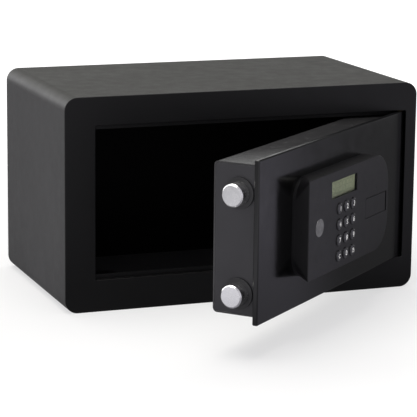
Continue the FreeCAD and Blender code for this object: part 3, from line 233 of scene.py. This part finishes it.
def powder_coat(name, colour, roughness, specular=0.5, relief=1.0, lined=False, shaded_top=False):
    """Sprayed powder coat: orange peel, a fine sparkle of grain, faint mottling and worn edges.

    Painted shade on top makes upward faces paler and less glossy, so the top reflects less light; painted
    shade in the cabinet's cavity makes its inner walls darker and less glossy.
    """
    g = material_graph(name)
    round_normal = g.rounded_normal(0.5 * MM)
    mottle = g.noise(60 * MM, 4)
    speck = g.noise(0.7 * MM, 2)
    patchy = g.noise(14 * MM, 5, roughness=0.7)
    worn = g.math("MULTIPLY", g.edges(round_normal), g.span(patchy, 0.4, 0.65, 0.1, 0.5))
    base = g.mix(g.span(mottle, 0.3, 0.7), shade(colour, 0.86), shade(colour, 1.14))
    base = g.mix(g.span(speck, 0.45, 0.75, 0, 0.35), base, shade(colour, 1.7))
    base = g.mix(worn, base, shade(colour, 2.6))
    rough = g.math("ADD", g.span(patchy, 0.3, 0.7, roughness - 0.05, roughness + 0.05),
                   g.span(speck, 0.3, 0.7, -0.03, 0.03))
    # Painted shade on top: upward faces turn paler and lose most of their gloss, so the top reflects less
    # light.
    if shaded_top:
        upward = g.dot(g.add("NewGeometry").outputs["Normal"], UP)
        top_shade = g.math("MULTIPLY", g.span(upward, 0.4, 0.9, smooth=True),
                      g.span(mottle, 0.3, 0.7, 0.85, 1.0))
        base = g.mix(top_shade, base, TOP_SHADE_TONE)
        specular = g.span(top_shade, 0, 1, specular, 0.3 * specular)
    # Painted shade in the cabinet's cavity: its inner walls are darker and less glossy.
    if lined:
        inside = cavity_mask(g)
        base = g.mix(inside, base, shade(colour, 0.15))
        specular = g.math("MULTIPLY", specular, g.span(inside, 0, 1, 1.0, 0.2))
    peel = g.bump(g.noise(2.6 * MM, 2), 0.05 * MM, 0.6 * relief, round_normal)
    fine = g.bump(g.noise(0.9 * MM, 3), 0.03 * MM, 0.7 * relief, peel)
    return g.surface(colour=base, roughness=rough, specular=specular, normal=fine)


def moulded(name, colour, roughness, specular=0.5):
    """Moulded plastic with a spark-eroded texture and a slight flow mottle."""
    g = material_graph(name)
    round_normal = g.rounded_normal(0.35 * MM)
    flow = g.noise(30 * MM, 3, (1, 1, 2.5))
    pits = g.noise(0.5 * MM, 4, roughness=0.7)
    handled = g.noise(12 * MM, 4)
    base = g.mix(g.span(flow, 0.3, 0.7), shade(colour, 0.9), shade(colour, 1.1))
    base = g.mix(g.math("MULTIPLY", g.edges(round_normal), 0.3), base, shade(colour, 1.8))
    rough = g.math("ADD", g.span(handled, 0.3, 0.7, roughness - 0.06, roughness + 0.04),
                   g.span(pits, 0.3, 0.7, -0.03, 0.03))
    return g.surface(colour=base, roughness=rough, specular=specular,
                     normal=g.bump(pits, 0.015 * MM, 0.8, round_normal))


def plated(name, colour, roughness):
    """Plated steel with a fine grain and haze."""
    g = material_graph(name)
    round_normal = g.rounded_normal(0.3 * MM)
    lines = g.noise(0.6 * MM, 4, roughness=0.7)
    haze = g.noise(9 * MM, 4)
    base = g.mix(g.span(haze, 0.3, 0.7), shade(colour, 0.9), shade(colour, 1.05))
    base = g.mix(g.span(lines, 0.35, 0.7, 0, 0.3), base, shade(colour, 0.7))
    rough = g.math("ADD", g.span(haze, 0.3, 0.7, roughness - 0.05, roughness + 0.06),
                   g.span(lines, 0.3, 0.7, -0.04, 0.06))
    return g.surface(colour=base, roughness=rough, metal=1.0,
                     normal=g.bump(lines, 0.01 * MM, 0.6, round_normal))


def zinc(name):
    """Zinc plate: soft crystal patches in colour and gloss."""
    g = material_graph(name)
    round_normal = g.rounded_normal(0.3 * MM)
    crystal = g.cells(5 * MM, output="Color")
    level = g.add("SeparateColor", {"Color": crystal}).outputs[0]
    haze = g.noise(3 * MM, 4)
    base = g.mix(level, (0.42, 0.43, 0.45), (0.62, 0.62, 0.6))
    base = g.mix(g.span(haze, 0.35, 0.75, 0, 0.4), base, (0.36, 0.36, 0.38))
    rough = g.math("ADD", g.span(level, 0, 1, 0.3, 0.46), g.span(haze, 0.3, 0.7, -0.04, 0.06))
    return g.surface(colour=base, roughness=rough, metal=1.0,
                     normal=g.bump(haze, 0.02 * MM, 0.5, round_normal))


def turned_bolt():
    """Ground steel bolts: fine rings round each bolt's middle, haze and a brighter rim."""
    g = material_graph("bolt_steel")
    low, high = door_box("locking_bolts")
    radius = (high.y - low.y) / 2
    round_normal = g.rounded_normal(0.4 * MM)
    across = g.math("SUBTRACT", g.along(INTO), (low.y + high.y) / 2)
    middle = (low.z + high.z) / 2
    spacing = (high.z - low.z) / 2 - radius
    rise = g.math("SUBTRACT", g.math("ABSOLUTE", g.math("SUBTRACT", g.along(UP), middle)), spacing)
    reach = g.math("SQRT", g.math("ADD", g.math("POWER", across, 2.0), g.math("POWER", rise, 2.0)))
    ring_pitch = 0.5 * MM
    rings = g.math("SINE", g.math("MULTIPLY", reach, 2 * math.pi / ring_pitch))
    haze = g.noise(5 * MM, 4)
    scratch = g.noise(0.5 * MM, 4, (0.15, 0.15, 1))
    base = g.mix(g.span(haze, 0.3, 0.7), (0.8, 0.8, 0.8), (0.92, 0.92, 0.91))
    base = g.mix(g.span(reach, radius - 1.6 * MM, radius - 0.9 * MM, 0, 0.25), base, (0.95, 0.95, 0.95))
    rough = g.math("ADD", g.span(haze, 0.3, 0.7, 0.17, 0.27), g.span(scratch, 0.3, 0.7, -0.03, 0.05))
    normal = g.bump(g.math("ADD", g.math("MULTIPLY", rings, 0.5), scratch), 0.006 * MM, 0.5, round_normal)
    return g.surface(colour=base, roughness=rough, metal=1.0, normal=normal)


def brass(name, cleanness=1.0):
    """Machined brass; a low cleanness is oiled and stained."""
    g = material_graph(name)
    round_normal = g.rounded_normal(0.2 * MM)
    haze = g.noise(3 * MM, 4)
    stained, bright = shade((0.55, 0.36, 0.13), cleanness), shade((0.78, 0.58, 0.28), cleanness)
    base = g.mix(g.span(haze, 0.3, 0.7), stained, bright)
    return g.surface(colour=base, roughness=g.span(haze, 0.3, 0.7, 0.22, 0.36), metal=1.0,
                     normal=g.bump(g.noise(0.4 * MM, 3), 0.01 * MM, 0.5, round_normal))


def key_cap():
    """Glossy moulded cap with faint sink marks and finger haze."""
    g = material_graph("key_cap_gloss")
    round_normal = g.rounded_normal(0.3 * MM)
    haze = g.noise(2.5 * MM, 4)
    base = g.mix(g.span(haze, 0.3, 0.7), (0.006, 0.006, 0.007), (0.012, 0.012, 0.013))
    return g.surface(colour=base, roughness=g.span(haze, 0.3, 0.7, 0.1, 0.2), specular=0.6,
                     normal=g.bump(g.noise(6 * MM, 2), 0.05 * MM, 0.5, round_normal), coat=0.4,
                     coat_roughness=0.08)


def printed_ink():
    """White ink with slight wear."""
    g = material_graph("printed_white")
    wear = g.noise(0.6 * MM, 4)
    base = g.mix(g.span(wear, 0.45, 0.8), (0.82, 0.82, 0.8), (0.55, 0.55, 0.54))
    return g.surface(colour=base, roughness=0.5, normal=g.bump(wear, 0.005 * MM, 0.5))


def display_glass():
    """Thin clear window: it lets light straight through and reflects by angle."""
    g = material_graph("display_window")
    smear = g.noise(7 * MM, 4)
    clear = g.add("BsdfTransparent", {"Color": (0.93, 0.95, 0.92, 1)})
    gloss = g.add("BsdfGlossy", {"Roughness": g.span(smear, 0.3, 0.7, 0.02, 0.09),
                                 "Normal": g.bump(smear, 0.01 * MM, 0.3)})
    entering = g.math("SUBTRACT", 1.0, g.add("NewGeometry").outputs["Backfacing"])
    amount = g.math("MULTIPLY", g.add("Fresnel", {"IOR": 1.45}).outputs[0], entering)
    mixed = g.add("MixShader", {0: amount, 1: clear.outputs[0], 2: gloss.outputs[0]})
    return g.show(mixed)


def display_panel(name, tone):
    """Unlit liquid crystal: a film of one tone with fine cell grain."""
    g = material_graph(name)
    grain = g.noise(0.4 * MM, 2)
    tint = g.noise(18 * MM, 3)
    base = g.mix(g.span(tint, 0.3, 0.7), shade(tone, 0.93), shade(tone, 1.07))
    base = g.mix(g.span(grain, 0.4, 0.8, 0, 0.25), base, shade(tone, 0.75))
    return g.surface(colour=base, roughness=g.span(grain, 0.3, 0.7, 0.35, 0.5), specular=0.4,
                     normal=g.bump(grain, 0.004 * MM, 0.4))


def brushed_badge():
    """Brushed grey metal."""
    g = material_graph("badge_metal")
    round_normal = g.rounded_normal(0.15 * MM)
    lines = g.noise(0.35 * MM, 4, (1, 1, 0.06))
    haze = g.noise(6 * MM, 3)
    base = g.mix(g.span(haze, 0.3, 0.7), (0.2, 0.2, 0.2), (0.3, 0.3, 0.295))
    return g.surface(colour=base, roughness=g.span(lines, 0.3, 0.7, 0.36, 0.52), metal=0.75,
                     normal=g.bump(lines, 0.01 * MM, 0.6, round_normal))


def felt():
    """Needle felt: tangled fibres, lint and a soft sheen."""
    g = material_graph("mat_felt")
    clumps = g.noise(2.4 * MM, 4, roughness=0.7)
    fibres = g.noise(0.5 * MM, 3, (1, 0.35, 1))
    crossed = g.noise(0.5 * MM, 3, (0.35, 1, 1))
    lint = g.cells(9 * MM)
    height = g.math("ADD", g.math("MULTIPLY", clumps, 0.8), g.math("ADD", fibres, crossed))
    base = g.mix(g.span(clumps, 0.3, 0.7), (0.004, 0.004, 0.0045), (0.014, 0.0138, 0.014))
    base = g.mix(g.span(fibres, 0.5, 0.75, 0, 0.5), base, (0.022, 0.0215, 0.021))
    base = g.mix(g.span(lint, 0.06, 0.02, 0, 0.6), base, (0.07, 0.07, 0.066))
    return g.surface(colour=base, roughness=0.95, sheen=0.08, sheen_roughness=0.5, specular=0.15,
                     normal=g.bump(height, 0.5 * MM, 0.8))


def circuit_board(name, node):
    """Green board with copper traces under the mask; the parts that stand on it are dark or grey."""
    g = material_graph(name)
    low, _ = door_box(node)
    depth = g.math("SUBTRACT", g.along(INTO), low.y)
    raised = g.span(depth, BOARD_THICK + 0.1 * MM, BOARD_THICK + 0.2 * MM)
    pitch = 1.6 * MM
    across = g.math("SNAP", g.along(ALONG), pitch)
    upward = g.math("SNAP", g.along(UP), pitch)
    lines = g.math("SINE", g.math("MULTIPLY", g.math("ADD", g.along(ALONG), upward), 2 * math.pi / pitch))
    blocks = g.noise(11 * MM, 1, place=g.add("CombineXYZ", {0: across, 2: upward}).outputs[0])
    trace = g.math("MULTIPLY", g.span(lines, 0.2, 0.5), g.span(blocks, 0.45, 0.5))
    mask = g.mix(trace, (0.008, 0.075, 0.025), (0.03, 0.17, 0.06))
    tone = g.noise(13 * MM, 0)
    parts = g.mix(g.span(tone, 0.48, 0.52), (0.012, 0.012, 0.013), (0.16, 0.16, 0.15))
    parts = g.mix(g.span(g.noise(1.5 * MM, 2), 0.4, 0.7, 0, 0.3), parts, (0.05, 0.05, 0.055))
    base = g.mix(raised, mask, parts)
    rough = g.math("ADD", g.span(raised, 0, 1, 0.25, 0.5),
                   g.span(g.noise(2 * MM, 3), 0.3, 0.7, -0.05, 0.05))
    return g.surface(colour=base, roughness=rough, normal=g.bump(trace, 0.03 * MM, 0.7))


def dry_cells():
    """Plain wrapped cells: a pale sleeve with one dark band and bare metal ends."""
    g = material_graph("cell_wrap")
    low, high = door_box("batteries")
    rise = g.span(g.along(UP), low.z, high.z)
    band = g.math("MULTIPLY", g.span(rise, 0.24, 0.25), g.span(rise, 0.44, 0.43))
    ends = g.math("MAXIMUM", g.span(rise, 0.045, 0.035), g.span(rise, 0.955, 0.965))
    haze = g.noise(4 * MM, 4)
    sleeve = g.mix(band, (0.42, 0.43, 0.44), (0.03, 0.05, 0.1))
    sleeve = g.mix(g.span(haze, 0.4, 0.75, 0, 0.3), sleeve, (0.3, 0.3, 0.31))
    base = g.mix(ends, sleeve, (0.7, 0.7, 0.69))
    return g.surface(colour=base, roughness=g.span(haze, 0.3, 0.7, 0.2, 0.34),
                     metal=g.math("MULTIPLY", ends, 0.9), normal=g.bump(haze, 0.02 * MM, 0.4))


def ribbon_cable():
    """Grey ribbon: parallel insulated wires with one marked edge."""
    g = material_graph("ribbon_wires")
    _, high = door_box("cable_harness")
    pitch = 1.0 * MM
    wires = g.math("SINE", g.math("MULTIPLY", g.along(UP), 2 * math.pi / pitch))
    marked = g.span(g.along(UP), high.z - 1.1 * pitch, high.z - pitch)
    haze = g.noise(5 * MM, 3)
    # Painted shade: the valleys between the wires are drawn darker.
    grey = g.mix(g.span(wires, -0.9, -0.4), (0.1, 0.1, 0.105), (0.3, 0.3, 0.31))
    grey = g.mix(g.span(haze, 0.35, 0.7, 0, 0.3), grey, (0.22, 0.22, 0.225))
    base = g.mix(marked, grey, (0.35, 0.03, 0.02))
    return g.surface(colour=base, roughness=g.span(haze, 0.3, 0.7, 0.42, 0.55),
                     normal=g.bump(wires, 0.2 * MM, 0.7))


def silicone():
    """Milky silicone rubber."""
    g = material_graph("dome_silicone")
    haze = g.noise(2 * MM, 4)
    base = g.mix(g.span(haze, 0.3, 0.7), (0.32, 0.33, 0.34), (0.45, 0.46, 0.47))
    return g.surface(colour=base, roughness=g.span(haze, 0.3, 0.7, 0.4, 0.55), subsurface=0.2,
                     normal=g.bump(g.noise(0.4 * MM, 2), 0.01 * MM, 0.5))


# ---------------------------------------------------------------- which finish goes on which part

GRAPHITE = (0.02, 0.0197, 0.0204)
# Painted light: the door box's side panels have the cabinet's coat, drawn a little lighter and cooler for
# the light on that side.
SIDE_LIT_GRAPHITE = (0.021, 0.0203, 0.0235)
# Painted shade: the front frame has the cabinet's coat, drawn much darker because it faces away from the
# light.
FRAME_SHADE_GRAPHITE = (0.0014, 0.0014, 0.0015)
# Painted shade: the door plate has the cabinet's coat, drawn much darker for the shade on its front.
DOOR_SHADE_GRAPHITE = (0.0008, 0.0008, 0.0009)

# Painted shade on the cabinet's top and on its inner walls.
coat_cabinet = powder_coat("coat_cabinet", GRAPHITE, 0.46, lined=True, shaded_top=True)
# Painted shade: the cabinet's coat made much darker for the front frame.
coat_frame = powder_coat("coat_frame", FRAME_SHADE_GRAPHITE, 0.4, specular=0.3)
# Painted shade: the cabinet's coat made much darker for the door plate.
coat_door = powder_coat("coat_door", DOOR_SHADE_GRAPHITE, 0.18, relief=0.35)
# Painted light: the cabinet's coat made a little lighter and cooler for the door box's side panels.
coat_box = powder_coat("coat_box", SIDE_LIT_GRAPHITE, 0.44)
coat_cover = powder_coat("coat_cover", GRAPHITE, 0.22, specular=0.7, relief=0.5)
zinc_plate = zinc("zinc_plate")
bright_nickel = plated("bright_nickel", (0.78, 0.77, 0.75), 0.24)
black_nylon = moulded("black_nylon", (0.014, 0.014, 0.015), 0.42)
housing_skin = moulded("housing_skin", (0.006, 0.0058, 0.0066), 0.34, specular=0.4)
gear_brass = brass("gear_brass")

FINISHES = {
    coat_cabinet: ["cabinet_shell", "back_plate"],
    coat_frame: ["front_frame", "door_stops"],
    coat_door: ["door_plate"],
    coat_box: ["bolt_side_panel", "hinge_side_panel"],
    coat_cover: ["back_cover"],
    zinc_plate: ["hinge_blocks", "hinge_pins", "bolt_keeper", "cover_posts", "cover_screws",
                 "guide_studs", "gearmotor", "motor_bracket", "small_screws", "housing_screws",
                 "bolt_carriage", "drive_rack", "bolt_screws", "lock_cam"],
    turned_bolt(): ["locking_bolts"],
    bright_nickel: ["guide_clips", "battery_contacts", "lock_cylinder", "output_shaft"],
    black_nylon: ["bolt_bushes", "battery_holder", "battery_cover", "override_switch"],
    housing_skin: ["keypad_base", "keypad_housing", "override_cover"],
    gear_brass: ["board_standoffs", "drive_pinion", "lock_plug"],
    brass("oiled_brass", 0.03): ["hinge_washers"],
    key_cap(): [name for name in NODES if name.startswith("key_")],
    display_glass(): ["lcd_window"],
    display_panel("display_film", (0.3, 0.31, 0.215)): ["lcd_module"],
    brushed_badge(): ["badge_disc"],
    circuit_board("control_mask", "control_board"): ["control_board"],
    circuit_board("keypad_mask", "keypad_board"): ["keypad_board"],
    dry_cells(): ["batteries"],
    ribbon_cable(): ["cable_harness"],
    silicone(): ["dome_switches"],
    moulded("reset_red", (0.42, 0.018, 0.012), 0.28): ["reset_button"],
}
for finish, names in FINISHES.items():
    for name in names:
        materials = NODES[name].data.materials
        materials.clear()
        materials.append(finish)


# ---------------------------------------------------------------- printed key symbols

INK = printed_ink()
DIGIT_HIGH = 6.4 * MM
STROKE_WIDE = 0.55 * MM


def on_face(item, across, into, up):
    """Stand a flat drawing on the door's front at a place given in the door's own directions."""
    face = Matrix((ALONG, UP, -INTO)).transposed().to_4x4()
    item.matrix_world = Matrix.Translation(DOOR_TURN @ Vector((across, into, up))) @ face


def lettering(name, text, high):
    """A printed digit."""
    curve = bpy.data.curves.new(name, "FONT")
    curve.body = text
    curve.size = high
    curve.align_x = "CENTER"
    curve.align_y = "CENTER"
    curve.extrude = 0.02 * MM
    curve.offset = 0.1 * MM
    return curve


def stroke_curve(name, strokes, wide):
    """Printed line symbol made of open or closed runs of (across, up) points."""
    curve = bpy.data.curves.new(name, "CURVE")
    curve.dimensions = "3D"
    curve.bevel_depth = wide / 2
    curve.bevel_resolution = 2
    for points, closed in strokes:
        run = curve.splines.new("POLY")
        run.points.add(len(points) - 1)
        for point, (across, up) in zip(run.points, points):
            point.co = (across, up, 0, 1)
        run.use_cyclic_u = closed
    return curve


def arc_points(centre, radius, start, end, count=16):
    """Points along an arc between two angles in degrees."""
    turns = [math.radians(start + (end - start) * step / count) for step in range(count + 1)]
    return [(centre[0] + radius * math.cos(turn), centre[1] + radius * math.sin(turn)) for turn in turns]


def clear_symbol():
    """An open ring, like a letter C: the clear key."""
    return [(arc_points((0, 0), 1.7 * MM, 45, 315), False)]


def padlock_symbol():
    """A closed body under a shackle: the lock key."""
    half, low, high = 1.5 * MM, -1.9 * MM, 0.3 * MM
    radius, rise = 1.0 * MM, 0.9 * MM
    body = [(-half, low), (half, low), (half, high), (-half, high)]
    shackle = [(-radius, high)] + arc_points((0, rise), radius, 180, 0) + [(radius, high)]
    return [(body, True), (shackle, False)]


def key_symbol(name):
    """The printed symbol of one key, just proud of its cap."""
    low, high = door_box(name)
    symbol = name.replace("key_", "")
    drawn = {"clear": clear_symbol, "enter": padlock_symbol}
    if symbol in drawn:
        curve = stroke_curve("print_" + symbol, drawn[symbol](), STROKE_WIDE)
    else:
        curve = lettering("print_" + symbol, symbol, DIGIT_HIGH)
    curve.materials.append(INK)
    item = add_object("print_" + symbol, curve)
    on_face(item, (low.x + high.x) / 2, low.y - 0.01 * MM, (low.z + high.z) / 2)
    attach(item, name + "_body")


for node in sorted(NODES):
    if node.startswith("key_"):
        key_symbol(node)


# ---------------------------------------------------------------- display segments

DIGITS = 6
SEGMENT_WIDE = 0.8 * MM
SEGMENT_LEAN = 0.08
SEGMENT_FLATNESS = 0.1


def segment_strokes(left, low, wide, high, lean):
    """The seven bars of one digit, leaning to the right."""
    gap = wide * 0.09
    middle, top = low + high / 2, low + high

    def spot(across, up):
        return (left + across + lean * (up - low), up)

    strokes = [([spot(gap, up), spot(wide - gap, up)], False) for up in (low, middle, top)]
    for across in (0, wide):
        for start, end in ((low, middle), (middle, top)):
            strokes.append(([spot(across, start + gap), spot(across, end - gap)], False))
    return strokes


def display_segments():
    """Faint unlit digits on the display, behind its window."""
    low, high = door_box("lcd_window")
    film, _ = door_box("lcd_module")
    wide, tall = high.x - low.x, high.z - low.z
    digit_wide, digit_high = tall * 0.42, tall * 0.62
    pitch = wide * 0.8 / DIGITS
    strokes = []
    for place in range(DIGITS):
        left = (place - (DIGITS - 1) / 2) * pitch - digit_wide / 2
        strokes += segment_strokes(left, -digit_high / 2, digit_wide, digit_high, SEGMENT_LEAN)
    curve = stroke_curve("display_segments", strokes, SEGMENT_WIDE)
    curve.materials.append(display_panel("segment_film", (0.225, 0.235, 0.163)))
    item = add_object("display_segments", curve)
    on_face(item, (low.x + high.x) / 2, film.y - 0.03 * MM, (low.z + high.z) / 2)
    item.matrix_world @= Matrix.Diagonal((1, 1, SEGMENT_FLATNESS, 1))
    return item


# ---------------------------------------------------------------- felt mat

# The mat's corners, and its holes over the two anchor holes in the cabinet's floor.
MAT_STEP = 2 * MM
MAT_CORNER = 8 * MM
MAT_EDGE = 1.2 * MM
MAT_HOLE_RADIUS = 13 * MM
MAT_HOLES = [Vector((side * 100 * MM, 20 * MM)) for side in (-1, 1)]


def mat_rim(x, y, low, high):
    """Distance from the nearest rim of the mat or of its holes, negative outside the felt."""
    dx = max(abs(x - (low.x + high.x) / 2) - ((high.x - low.x) / 2 - MAT_CORNER), 0)
    dy = max(abs(y - (low.y + high.y) / 2) - ((high.y - low.y) / 2 - MAT_CORNER), 0)
    rim = MAT_CORNER - (math.hypot(dx, dy) if dx > 0 and dy > 0 else max(dx, dy))
    holes = min((Vector((x, y)) - hole).length for hole in MAT_HOLES) - MAT_HOLE_RADIUS
    return min(rim, holes)


def mat_top(x, y, rim, low, high):
    """Height of the felt: soft edges and slight waves, just under the flat solid's top."""
    soft = math.sqrt(1 - (1 - rim / MAT_EDGE) ** 2) if rim < MAT_EDGE else 1.0
    long_wave = 0.12 * MM * noise.noise(Vector((x, y, 0)) * 30)
    short_wave = 0.1 * MM * noise.noise(Vector((x, y, 5)) * 160)
    thick = high.z - low.z - 0.25 * MM + long_wave + short_wave
    return low.z + thick * (0.25 + 0.75 * soft)


def felt_sheet(mesh, low, high):
    """The top of the mat as a grid with its corners and holes left out."""
    columns = round((high.x - low.x) / MAT_STEP)
    rows = round((high.y - low.y) / MAT_STEP)
    spots = {}
    for column, row in product(range(columns + 1), range(rows + 1)):
        x = low.x + (high.x - low.x) * column / columns
        y = low.y + (high.y - low.y) * row / rows
        rim = mat_rim(x, y, low, high)
        if rim > -0.2 * MAT_STEP:
            rim = max(rim, 0.0)
            spots[column, row] = mesh.verts.new((x, y, mat_top(x, y, rim, low, high)))
    for column, row in product(range(columns), range(rows)):
        corners = [(column, row), (column + 1, row), (column + 1, row + 1), (column, row + 1)]
        present = [spots[spot] for spot in corners if spot in spots]
        if len(present) >= 3:
            mesh.faces.new(present)


def fold_down(mesh, height):
    """Walls from every open rim down to a height."""
    rims = [edge for edge in mesh.edges if edge.is_boundary]
    for item in bmesh.ops.extrude_edge_only(mesh, edges=rims)["geom"]:
        if isinstance(item, bmesh.types.BMVert):
            item.co.z = height


def mesh_object(name, mesh, material):
    """A smooth object from a finished bmesh."""
    for face in mesh.faces:
        face.smooth = True
    data = bpy.data.meshes.new(name)
    mesh.to_mesh(data)
    mesh.free()
    data.materials.append(material)
    return add_object(name, data)


def felt_mat():
    """A felt sheet that replaces the flat solid."""
    low, high = (Vector(corner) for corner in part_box("floor_mat"))
    mesh = bmesh.new()
    felt_sheet(mesh, low, high)
    fold_down(mesh, low.z)
    return mesh_object("felt_mat", mesh, felt())


segments = display_segments()
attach(segments, "door")

mat = felt_mat()
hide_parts("floor_mat")
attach(mat, "cabinet")


# ---------------------------------------------------------------- studio

# What the satin faces mirror: a level, and patches of light added to it. Each patch has a colour and fades,
# and each fade is a direction with the distances from the origin where the light starts and is full.
GLOW_BASE = (0.13, 0.129, 0.133)
LEFT, RIGHT, FRONT, BACK = (-1, 0, 0), (1, 0, 0), (0, -1, 0), (0, 1, 0)
HIGH, LOW = (0, 0, 1), (0, 0, -1)
FRONT_LEFT, NEAR_FRONT = (-0.94, -0.35, 0), (0.23, -0.97, 0)
GLOW_PATCHES = [
    ((0.42, 0.415, 0.43), (FRONT_LEFT, 0.0, 0.3), (BACK, -0.25, 0.05)),
    ((0.66, 0.65, 0.7), (LEFT, 0.1, 0.35), (LEFT, 1.4, 0.3), (FRONT, 0.15, 0.3)),
    ((0.36, 0.342, 0.42), (RIGHT, -0.6, 0.8), (NEAR_FRONT, 0.18, 0.25)),
    ((0.85, 0.86, 0.84), (BACK, 0.5, 0.9), (HIGH, 0.35, 0.7), (HIGH, 1.6, 1.0)),
    ((0.9, 0.9, 0.9), (BACK, 0.0, 0.5), (HIGH, 0.12, 0.35), (LEFT, -0.3, 0.3)),
    ((0.22, 0.22, 0.22), (FRONT, 0.25, 0.8)),
    ((0.4, 0.4, 0.41), (BACK, 0.2, 0.6), (RIGHT, -0.3, 0.1), (LOW, -0.3, -0.1)),
]
AIR_LIGHT = (0.48, 0.465, 0.51)
FLOOR_LIGHT = 0.72


def reflected_light(g, place):
    """Surroundings that differ from side to side, so that satin faces show the right gradients."""
    total = g.add("CombineXYZ", dict(enumerate(GLOW_BASE))).outputs[0]
    for colour, *fades in GLOW_PATCHES:
        shape = 1.0
        for direction, start, full in fades:
            fade = g.span(g.dot(place, direction), start, full, smooth=True)
            shape = g.math("MULTIPLY", fade, shape)
        lit = g.add("VectorMath", {0: colour, "Scale": shape}, operation="SCALE").outputs[0]
        total = g.add("VectorMath", {0: total, 1: lit}, operation="ADD").outputs[0]
    return total


def add_shaders(g, first, second):
    return g.add("AddShader", {0: first.outputs[0], 1: second.outputs[0]})


def choose_shader(g, factor, first, second):
    return g.add("MixShader", {0: factor, 1: first.outputs[0], 2: second.outputs[0]})


def floor_finish():
    """Pale matt sweep, with its own level for the camera, for light that it sheds and for reflections; near
    the object its glow to the camera and its level in reflections are dimmed as a painted contact shadow.
    """
    g = material_graph("studio_floor")
    tone = g.span(g.noise(0.5, 3), 0.3, 0.7, 0.965, 1.0)
    colour = g.add("CombineColor", {0: tone, 1: tone, 2: tone}).outputs[0]
    fibre = g.bump(g.noise(1.5 * MM, 3), 0.05 * MM, 0.2)
    reach = g.add("VectorMath", {0: g.place}, operation="LENGTH").outputs["Value"]
    paint = g.add("BsdfPrincipled", {"Base Color": g.mix(0.5, colour, (0.12, 0.12, 0.12)),
                                     "Roughness": 0.3, "Specular IOR Level": 0.3, "Normal": fibre})
    shed = add_shaders(g, paint, g.add("Emission", {"Color": colour, "Strength": FLOOR_LIGHT}))
    paper = g.add("BsdfDiffuse", {"Color": g.mix(0.27, (0, 0, 0), colour)})
    # Painted shadow: the glow seen by the camera is dimmer near the object.
    glow_with_painted_shadow = g.add("Emission", {"Color": colour, "Strength": g.span(reach, 0.35, 1.3, 0.64, 1.03)})
    seen = choose_shader(g, g.light_path("Camera"), shed, add_shaders(g, paper, glow_with_painted_shadow))
    # Painted shade: reflections of the floor are dimmer near the object.
    mirrored_with_painted_shade = g.add("Emission", {"Color": reflected_light(g, g.place),
                                  "Strength": g.span(reach, 0.15, 0.5, 0.75, 1)})
    return g.show(choose_shader(g, g.light_path("Glossy"), seen, mirrored_with_painted_shade))


def sweep():
    """A floor that curves up into a backdrop."""
    half, front, bend, radius, high, steps = 6.0, -6.0, 3.0, 1.5, 4.0, 16
    turns = [math.pi / 2 * step / steps for step in range(1, steps + 1)]
    profile = [(front, 0.0), (bend, 0.0)]
    profile += [(bend + radius * math.sin(turn), radius - radius * math.cos(turn)) for turn in turns]
    profile.append((bend + radius, high))
    mesh = bmesh.new()
    rows = [[mesh.verts.new((x, y, z)) for x in (-half, half)] for y, z in profile]
    for near, far in zip(rows, rows[1:]):
        mesh.faces.new((near[0], near[1], far[1], far[0]))
    mesh_object("studio_sweep", mesh, floor_finish())


def surroundings():
    """White to the camera, soft light on the object, and the patches of light in reflections."""
    world = bpy.data.worlds.new("studio_air")
    bpy.context.scene.world = world
    g = Graph(world, coordinates="Generated")
    light = g.mix(g.light_path("Glossy"), AIR_LIGHT, reflected_light(g, g.place))
    light = g.mix(g.light_path("Camera"), light, (1.0, 1.0, 1.0))
    g.show(g.add("Background", {"Color": light, "Strength": 1.0}))


def softbox(name, place, target, wide, high, power, colour=(1, 1, 1)):
    """A rectangular area light aimed at a target."""
    light = bpy.data.lights.new(name, "AREA")
    light.shape = "RECTANGLE"
    light.size = wide
    light.size_y = high
    light.energy = power
    light.color = colour
    item = add_object(name, light)
    item.location = place
    item.rotation_euler = (Vector(target) - Vector(place)).to_track_quat("-Z", "Y").to_euler()


CAMERA_AZIMUTH, CAMERA_ELEVATION, CAMERA_ROLL = (math.radians(angle) for angle in (20.70, 11.88, 0.63))
CAMERA_DISTANCE = 1.901
CAMERA_TARGET = Vector((-0.03636, -0.1, 0.09025))
CAMERA_LENS_MM = 176.67


def camera():
    """Three-quarter view from the left, a little above, with the slight roll of a hand-set tripod."""
    level = math.cos(CAMERA_ELEVATION)
    back = Vector((-math.sin(CAMERA_AZIMUTH) * level, -math.cos(CAMERA_AZIMUTH) * level,
                   math.sin(CAMERA_ELEVATION)))
    turn = Matrix.Rotation(CAMERA_ROLL, 3, back)
    right = UP.cross(back).normalized()
    frame_axes = Matrix((turn @ right, turn @ back.cross(right), back)).transposed().to_4x4()
    data = bpy.data.cameras.new("camera")
    data.sensor_width = 36
    data.lens = CAMERA_LENS_MM
    item = add_object("camera", data)
    item.matrix_world = Matrix.Translation(CAMERA_TARGET + back * CAMERA_DISTANCE) @ frame_axes
    bpy.context.scene.camera = item


sweep()
surroundings()
softbox("overhead", place=(-0.2, 0.1, 1.7), target=(0, 0, 0.1), wide=1.8, high=1.4, power=38,
        colour=(1, 0.985, 0.93))
softbox("left_fill", place=(-1.8, -0.9, 0.9), target=(0, -0.1, 0.1), wide=1.0, high=1.4, power=2)
camera()
bpy.context.scene.view_settings.view_transform = "Standard"
